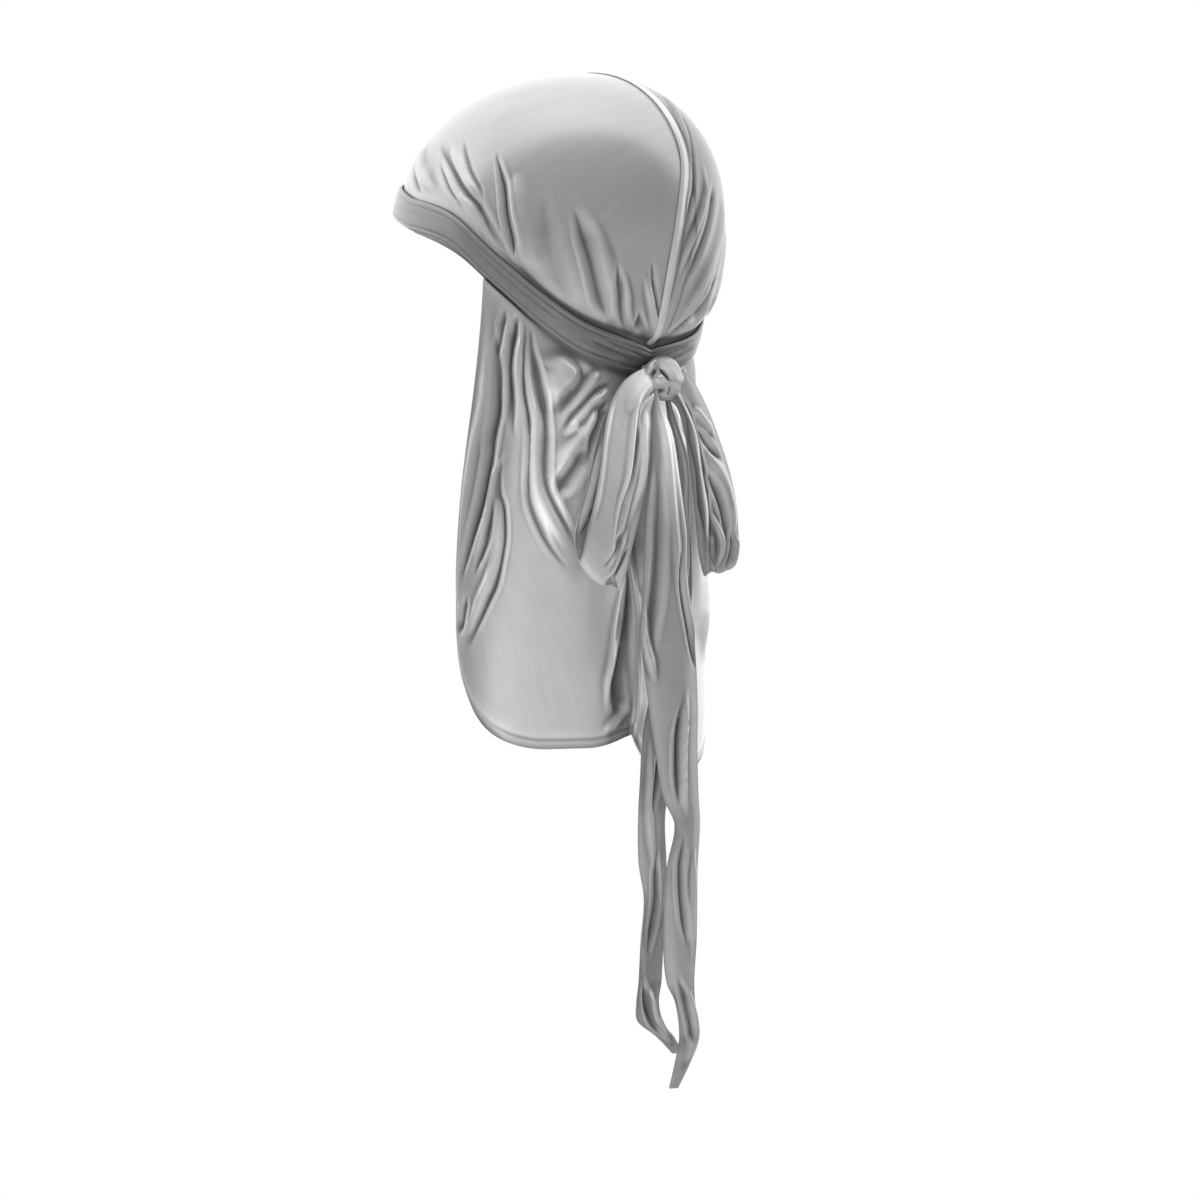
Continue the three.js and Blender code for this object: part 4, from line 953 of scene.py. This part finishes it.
LEFT_TAIL_FOLDS = [
    ([(0.02, 0.5), (0.1, 0.72), (0.2, 0.82), (0.3, 0.86)], 0.21, 0.21, 0.45),
    ([(0.03, 0), (0.12, 0.2), (0.22, 0.4), (0.32, 0.6)], 0.3, 0.4, 0.33),
    ([(0.12, -0.75), (0.22, -0.5), (0.3, -0.55), (0.4, -0.8)], 0.3, 0.4, -0.45),
    ([(0.24, 0.55), (0.3, 0.62), (0.36, 0.78), (0.41, 0.9)], 0.21, 0.21, -0.52, 0.3),
    ([(0.32, -0.92), (0.37, -0.85), (0.43, -0.7)], 0.21, 0.21, 0.45),
    ([(0.44, 0.45), (0.5, 0.2), (0.57, 0.0), (0.62, -0.1)], 0.21, 0.21, 0.45),
    ([(0.46, 0.15), (0.52, -0.1), (0.6, -0.3)], 0.21, 0.21, -0.45, 0.3),
    ([(0.64, -0.4), (0.72, -0.2), (0.8, 0.2)], 0.21, 0.21, -0.45, 0.3),
    ([(0.66, 0.6), (0.74, 0.5), (0.82, 0.6)], 0.21, 0.21, 0.38),
    ([(0.84, -0.3), (0.9, 0.1), (0.95, 0.4)], 0.21, 0.21, -0.45, 0.3),
    ([(0.86, 0.3), (0.92, 0.5), (0.97, 0.3)], 0.21, 0.21, 0.38),
]
RIGHT_TAIL_FOLDS = [
    ([(0.03, 0), (0.14, 0), (0.24, 0.05), (0.34, 0.1)], 0.22, 0.22, 0.52),
    ([(0.08, 0.75), (0.2, 0.7), (0.34, 0.75)], 0.21, 0.21, -0.45, 0.3),
    ([(0.08, -0.75), (0.2, -0.7), (0.34, -0.7)], 0.21, 0.21, -0.45, 0.3),
    ([(0.46, 0.4), (0.54, 0.1), (0.62, -0.2)], 0.21, 0.21, -0.45, 0.3),
    ([(0.5, -0.5), (0.6, -0.4), (0.7, 0)], 0.21, 0.21, 0.42),
    ([(0.66, 0.3), (0.74, 0), (0.82, -0.2)], 0.21, 0.21, -0.45, 0.3),
    ([(0.84, -0.6), (0.89, 0.1), (0.94, 0.5)], 0.21, 0.21, -0.52, 0.3),
    ([(0.86, 0.4), (0.9, 0.5), (0.94, 0.3)], 0.21, 0.21, 0.45),
]


def folded(grid, normals, at, folds):
    """A ribbon's grid with its folds."""
    across = np.linspace(-1, 1, grid.shape[1])

    def place(along_it, across_it):
        i = np.interp(along_it, at, np.arange(len(at)))
        j = np.interp(across_it, across, np.arange(len(across)))
        a = np.minimum(i.astype(int), len(at) - 2)
        b = np.minimum(j.astype(int), len(across) - 2)
        s, t = (i - a)[:, None], (j - b)[:, None]
        near = lerp(grid[a, b], grid[a, b + 1], t)
        return lerp(near, lerp(grid[a + 1, b], grid[a + 1, b + 1], t), s)

    lift = np.zeros(grid.shape[:2])
    for row in folds:
        stops = np.array(row[0])[:, 0]
        reach = 0.35 * (stops[-1] - stops[0])
        part = (at > stops[0] - reach) & (at < stops[-1] + reach)
        lift[part] += fold_lift(row, grid[part], normals[part], place)
    return grid + normals * lift[..., None]


def edge_painted_shade(across):
    """Painted shade: the darker line along a ribbon's two edges, by the place across it."""
    return 1 - RIBBON_EDGE_PAINTED_SHADE * bell(np.abs(across), 1, RIBBON_EDGE)


def loop(name, side, rows, turn, folds, corners):
    at = np.linspace(0, 1, LOOP_STEPS + 1)
    value = {key: along(rows, "at", key, at) for key in rows}
    centre = KNOT_AT + np.stack([
        side * value["side"] * LOOP_WIDE, value["out"] * LOOP_DEEP, -value["drop"] * LOOP_DROP,
    ], -1)
    lean = np.radians(value["lean"])
    across = level_across(np.full_like(at, float(turn))) * side * np.cos(lean)[:, None]
    across[:, 2] = np.sin(lean)
    way = np.gradient(centre, axis=0)
    out = unit(np.cross(across, way)) * side
    w = np.linspace(-1, 1, LOOP_ACROSS_STEPS + 1)
    lift = along(LOOP_ACROSS, "at", "lift", w) * LOOP_DEEP * np.sin(np.pi * at)[:, None]
    half = value["wide"] * LOOP_WIDE / 2
    grid = centre[:, None] + across[:, None] * (w * half[:, None])[..., None] + out[:, None] * lift[..., None]
    corner = ((w + 1) / 2) ** 2 * bell(at, 0.5, LOOP_CORNER_REACH)[:, None]
    rise, swing = corners
    grid[..., 2] += rise * corner
    grid += across[:, None] * (swing * bell(at, 0.5, LOOP_SWING_REACH))[:, None, None]
    grid = folded(grid, grid_normals(grid) * side, at, folds)
    # Painted light and shade: the loops lighter, the right loop darker away from one edge, both darker
    # towards their lower ends.
    outer = LOOP_PAINTED_LIGHT if side > 0 else RIGHT_LOOP_PAINTED_SHADE
    painted_shading = lerp(LOOP_PAINTED_LIGHT, outer, smoothstep(w, *LOOP_INNER)) * edge_painted_shade(w)
    painted_shading = painted_shading * lerp(1, LOOP_LOW_PAINTED_SHADE, smoothstep(at, *LOOP_LOW))[:, None]
    return ribbon(name, grid, TIE_THICK, flip=side < 0, painted_shading=painted_shading)


def tail(name, rows, folds, shift, top_painted_light):
    drop = np.linspace(rows["drop"][0], rows["drop"][-1], TAIL_STEPS + 1)
    value = {key: along(rows, "drop", key, drop) for key in rows}
    across = level_across(value["turn"])
    out = np.stack([-across[:, 1], across[:, 0], np.zeros_like(drop)], -1)
    centre = KNOT_AT + np.stack([value["side"] * TAIL_WIDE, value["out"] * KNOT_DEEP, -drop * TAIL_DROP], -1)
    w = np.linspace(-1, 1, TAIL_ACROSS_STEPS + 1)
    centre[:, 0] += shift * bell(drop, 0, TAIL_SHIFT_REACH)
    half = value["wide"] * TAIL_WIDE / 2 * lerp(TAIL_PINCH, 1, smoothstep(drop, 0, TAIL_SPREAD))
    curl = value["curl"][:, None] * TAIL_WIDE * (0.5 - w * w)
    grid = centre[:, None] - across[:, None] * (w * half[:, None])[..., None] + out[:, None] * curl[..., None]
    grid = folded(grid, -grid_normals(grid), drop, folds)
    # Painted light and shade: the tails lighter near the top and darker below, with a painted shadow under
    # the knot.
    painted_shading = lerp(top_painted_light, TAIL_PAINTED_SHADE, smoothstep(drop, *TAIL_TOP))
    painted_shading = painted_shading * lerp(KNOT_SHADOW, 1, smoothstep(drop, *KNOT_SHADOW_REACH))
    painted_shading = painted_shading[:, None] * edge_painted_shade(w)
    return ribbon(name, grid, TIE_THICK, flip=True, painted_shading=painted_shading)


# Material. The cloth's own coordinates are metres.
GREY = 0.42
THREAD = 0.00042
CLOUD_TINT = 0.16
GRAIN_TINT = 0.06
STREAK_TINT = 0.14
ROUGH = 0.24
GRAIN_ROUGH = 0.12


def fill(node, values):
    for key, value in values.items():
        node.inputs[key].default_value = value


def new_node(tree, kind, values=None, **settings):
    """A shader node with its settings and the values of its inputs."""
    made = tree.nodes.new("ShaderNode" + kind)
    for key, value in settings.items():
        setattr(made, key, value)
    fill(made, values or {})
    return made


def satin():
    """Grey satin: fine threads, a soft uneven grain, and the painted light and shade that each piece keeps.
    """
    material = bpy.data.materials.new("satin")
    material.use_nodes = True
    tree = material.node_tree
    links = tree.links
    shader = tree.nodes["Principled BSDF"]
    fill(shader, {"Metallic": 0.5, "Specular IOR Level": 0.5, "Anisotropic": 0.3})
    fill(shader, {"Sheen Weight": 0.12, "Sheen Roughness": 0.4})

    def sums(operation, *values):
        made = new_node(tree, "Math", operation=operation)
        for k, value in enumerate(values):
            if isinstance(value, float):
                made.inputs[k].default_value = value
            else:
                links.new(value, made.inputs[k])
        return made.outputs[0]

    def round_one(pattern, amount):
        return sums("MULTIPLY_ADD", pattern, amount, 1 - amount / 2)

    def noise(across, along_it, detail):
        place = new_node(tree, "Mapping", {"Scale": (across, along_it, 1)})
        links.new(cloth.outputs["UV"], place.inputs["Vector"])
        made = new_node(tree, "TexNoise", {"Scale": 1, "Detail": detail})
        links.new(place.outputs["Vector"], made.inputs["Vector"])
        return made.outputs["Fac"]

    cloth = new_node(tree, "UVMap", uv_map="cloth")
    shade = new_node(tree, "Attribute", attribute_name="shade")
    clouds = noise(45, 45, 3)
    grain = noise(2600, 500, 3)
    streaks = noise(240, 24, 2)
    tint = sums("MULTIPLY", round_one(clouds, CLOUD_TINT), round_one(grain, GRAIN_TINT))
    tint = sums("MULTIPLY", tint, round_one(streaks, STREAK_TINT))
    # The shade attribute paints light and shade into the base colour.
    tint = sums("MULTIPLY", tint, shade.outputs["Fac"])
    colour = new_node(tree, "VectorMath", {0: (GREY, GREY, GREY)}, operation="SCALE")
    links.new(tint, colour.inputs["Scale"])
    links.new(colour.outputs[0], shader.inputs["Base Color"])
    links.new(sums("MULTIPLY_ADD", grain, GRAIN_ROUGH, ROUGH), shader.inputs["Roughness"])

    waves = {"Scale": 1 / (THREAD * 20), "Distortion": 1.5}
    weft = new_node(tree, "TexWave", waves, wave_type="BANDS", bands_direction="Y")
    links.new(cloth.outputs["UV"], weft.inputs["Vector"])
    height = sums("ADD", sums("MULTIPLY", weft.outputs["Fac"], 0.4), sums("MULTIPLY", grain, 0.6))
    bump = new_node(tree, "Bump", {"Strength": 0.2, "Distance": 0.0001})
    links.new(height, bump.inputs["Height"])
    links.new(bump.outputs["Normal"], shader.inputs["Normal"])
    tangent = new_node(tree, "Tangent", direction_type="UV_MAP", uv_map="cloth")
    links.new(tangent.outputs["Tangent"], shader.inputs["Tangent"])
    return material


SATIN = satin()


def dress(piece, node, **sheet):
    piece.data.materials.append(SATIN)
    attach(piece, "root")
    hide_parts(node)


# Camera. Its place, the stage and the lights are in metres.
EYE = Vector((1.39795, 1.41448, -0.299))
FOCAL_PIXELS = 3478
PHOTO_SIDE = 1200
SENSOR = 36
camera = new_object("camera", bpy.data.cameras.new("camera"))
camera.location = EYE
camera.rotation_euler = Vector((-1, -1, 0)).to_track_quat("-Z", "Y").to_euler()
camera.data.sensor_width = SENSOR
camera.data.lens = FOCAL_PIXELS / PHOTO_SIDE * SENSOR
camera.data.clip_start = 0.05
camera.data.clip_end = 100
scene.camera = camera

SIDES = {"left": 1, "right": -1}
PANEL = {"flat": (0.19, 0.52), "area": 0.06, "held": "draped"}
STRAP = {"flat": (0.019, 0.29), "held": "stretched"}
LOOP = {"flat": (0.034, 0.25), "held": "folded", "rests_on": ["knot"]}
TAIL = {"flat": (0.034, 0.4), "area": 0.009, "held": "hung", "rests_on": ["knot"]}
LOOP_SHAPES = {
    "left": (LEFT_LOOP, LEFT_LOOP_ANGLE, LEFT_LOOP_FOLDS, LEFT_LOOP_CORNER),
    "right": (RIGHT_LOOP, RIGHT_LOOP_ANGLE, RIGHT_LOOP_FOLDS, RIGHT_LOOP_CORNER),
}
TAIL_SHAPES = {
    "left": (LEFT_TAIL, LEFT_TAIL_FOLDS, LEFT_TAIL_SHIFT, LEFT_TAIL_TOP_PAINTED_LIGHT),
    "right": (RIGHT_TAIL, RIGHT_TAIL_FOLDS, 0, RIGHT_TAIL_TOP_PAINTED_LIGHT),
}
for name, side in SIDES.items():
    dress(panel(f"{name}_panel_cloth", side), f"{name}_panel", rests_on=[f"{name}_strap"], **PANEL)
for name, side in SIDES.items():
    dress(strap(f"{name}_strap_cloth", side), f"{name}_strap", rests_on=[f"{name}_panel"], **STRAP)
for name, side in SIDES.items():
    dress(loop(f"{name}_loop_cloth", side, *LOOP_SHAPES[name]), f"{name}_loop", **LOOP)
for name in SIDES:
    dress(tail(f"{name}_tail_cloth", *TAIL_SHAPES[name]), f"{name}_tail", **TAIL)
SEAM = {"held": "stretched", "rests_on": ["left_panel", "right_panel"]}
dress(centre_seam(), "centre_seam", flat=(0.013, 0.33), area=0.0021, **SEAM)
dress(cape_seam(), "cape_seam", flat=(0.013, 0.2), area=0.0013, **SEAM)
dress(knot(), "knot")

# Stage
FLOOR_Z = -0.8
FLOOR_GREY = 0.4
FLOOR_RADIUS = 6.0


def floor():
    mesh = bpy.data.meshes.new("floor")
    turns = 96
    rim = [(math.cos(2 * math.pi * k / turns), math.sin(2 * math.pi * k / turns)) for k in range(turns)]
    points = [(0, 0, FLOOR_Z)] + [(FLOOR_RADIUS * x, FLOOR_RADIUS * y, FLOOR_Z) for x, y in rim]
    mesh.from_pydata(points, [], [(0, k + 1, (k + 1) % turns + 1) for k in range(turns)])
    piece = new_object("floor", mesh)
    paper = bpy.data.materials.new("paper")
    paper.use_nodes = True
    shader = paper.node_tree.nodes["Principled BSDF"]
    fill(shader, {"Base Color": (FLOOR_GREY, FLOOR_GREY, FLOOR_GREY, 1), "Roughness": 0.9})
    seen_white(paper.node_tree, shader, "Material Output")
    piece.data.materials.append(paper)


def seen_white(tree, shader, output):
    """Lets the studio look white, without all its light falling on the cloth."""
    white = new_node(tree, "Emission")
    seen = new_node(tree, "LightPath")
    mix = new_node(tree, "MixShader")
    tree.links.new(seen.outputs["Is Camera Ray"], mix.inputs[0])
    tree.links.new(shader.outputs[0], mix.inputs[1])
    tree.links.new(white.outputs[0], mix.inputs[2])
    tree.links.new(mix.outputs[0], tree.nodes[output].inputs["Surface"])


floor()

# Light
TO_CAMERA = Vector((1, 1, 0)).normalized()
TO_LEFT = Vector((1, -1, 0)).normalized()
UP = Vector((0, 0, 1))
HEAD = Vector((0, 0, -0.2))
CEILING_EDGE = 62
CEILING_SOFT = 0.04
CEILING_LIGHT = 1.65
WALL_LIGHT = 0.27


def room():
    """A bright ceiling that runs down behind the head, and dimmer walls, with a soft edge between them."""
    world = bpy.data.worlds.new("studio")
    world.use_nodes = True
    tree = world.node_tree
    light = tree.nodes["Background"]
    fill(light, {"Color": (1, 1, 1, 1)})
    place = new_node(tree, "TexCoord")
    edge = math.radians(CEILING_EDGE)
    way = UP * math.cos(edge) - TO_CAMERA * math.sin(edge)
    height = new_node(tree, "VectorMath", {1: way}, operation="DOT_PRODUCT")
    strength = new_node(tree, "MapRange", interpolation_type="SMOOTHSTEP")
    fill(strength, {"From Min": -CEILING_SOFT, "From Max": CEILING_SOFT})
    fill(strength, {"To Min": WALL_LIGHT, "To Max": CEILING_LIGHT})
    tree.links.new(place.outputs["Generated"], height.inputs[0])
    tree.links.new(height.outputs["Value"], strength.inputs["Value"])
    tree.links.new(strength.outputs["Result"], light.inputs["Strength"])
    seen_white(tree, light, "World Output")
    scene.world = world


def soft_box(name, front, left, up, size, power):
    """A lamp placed in front, to the left and above, which isn't seen itself or in the cloth's gloss."""
    lamp = bpy.data.lights.new(name, "AREA")
    lamp.shape = "RECTANGLE"
    lamp.size, lamp.size_y = size
    lamp.energy = power
    piece = new_object(name, lamp)
    piece.location = TO_CAMERA * front + TO_LEFT * left + UP * up
    piece.rotation_euler = (HEAD - piece.location).to_track_quat("-Z", "Y").to_euler()
    piece.visible_camera = False
    piece.visible_glossy = False


room()
soft_box("overhead", 0.3, 0.2, 1.2, (1.2, 1.2), 24)
soft_box("low_front", 1.1, 0.1, -0.6, (0.6, 0.6), 8)
soft_box("left", 0.5, 1.2, 0.1, (0.8, 0.8), 4.2)

scene.view_settings.view_transform = "Standard"
scene.view_settings.look = "None"
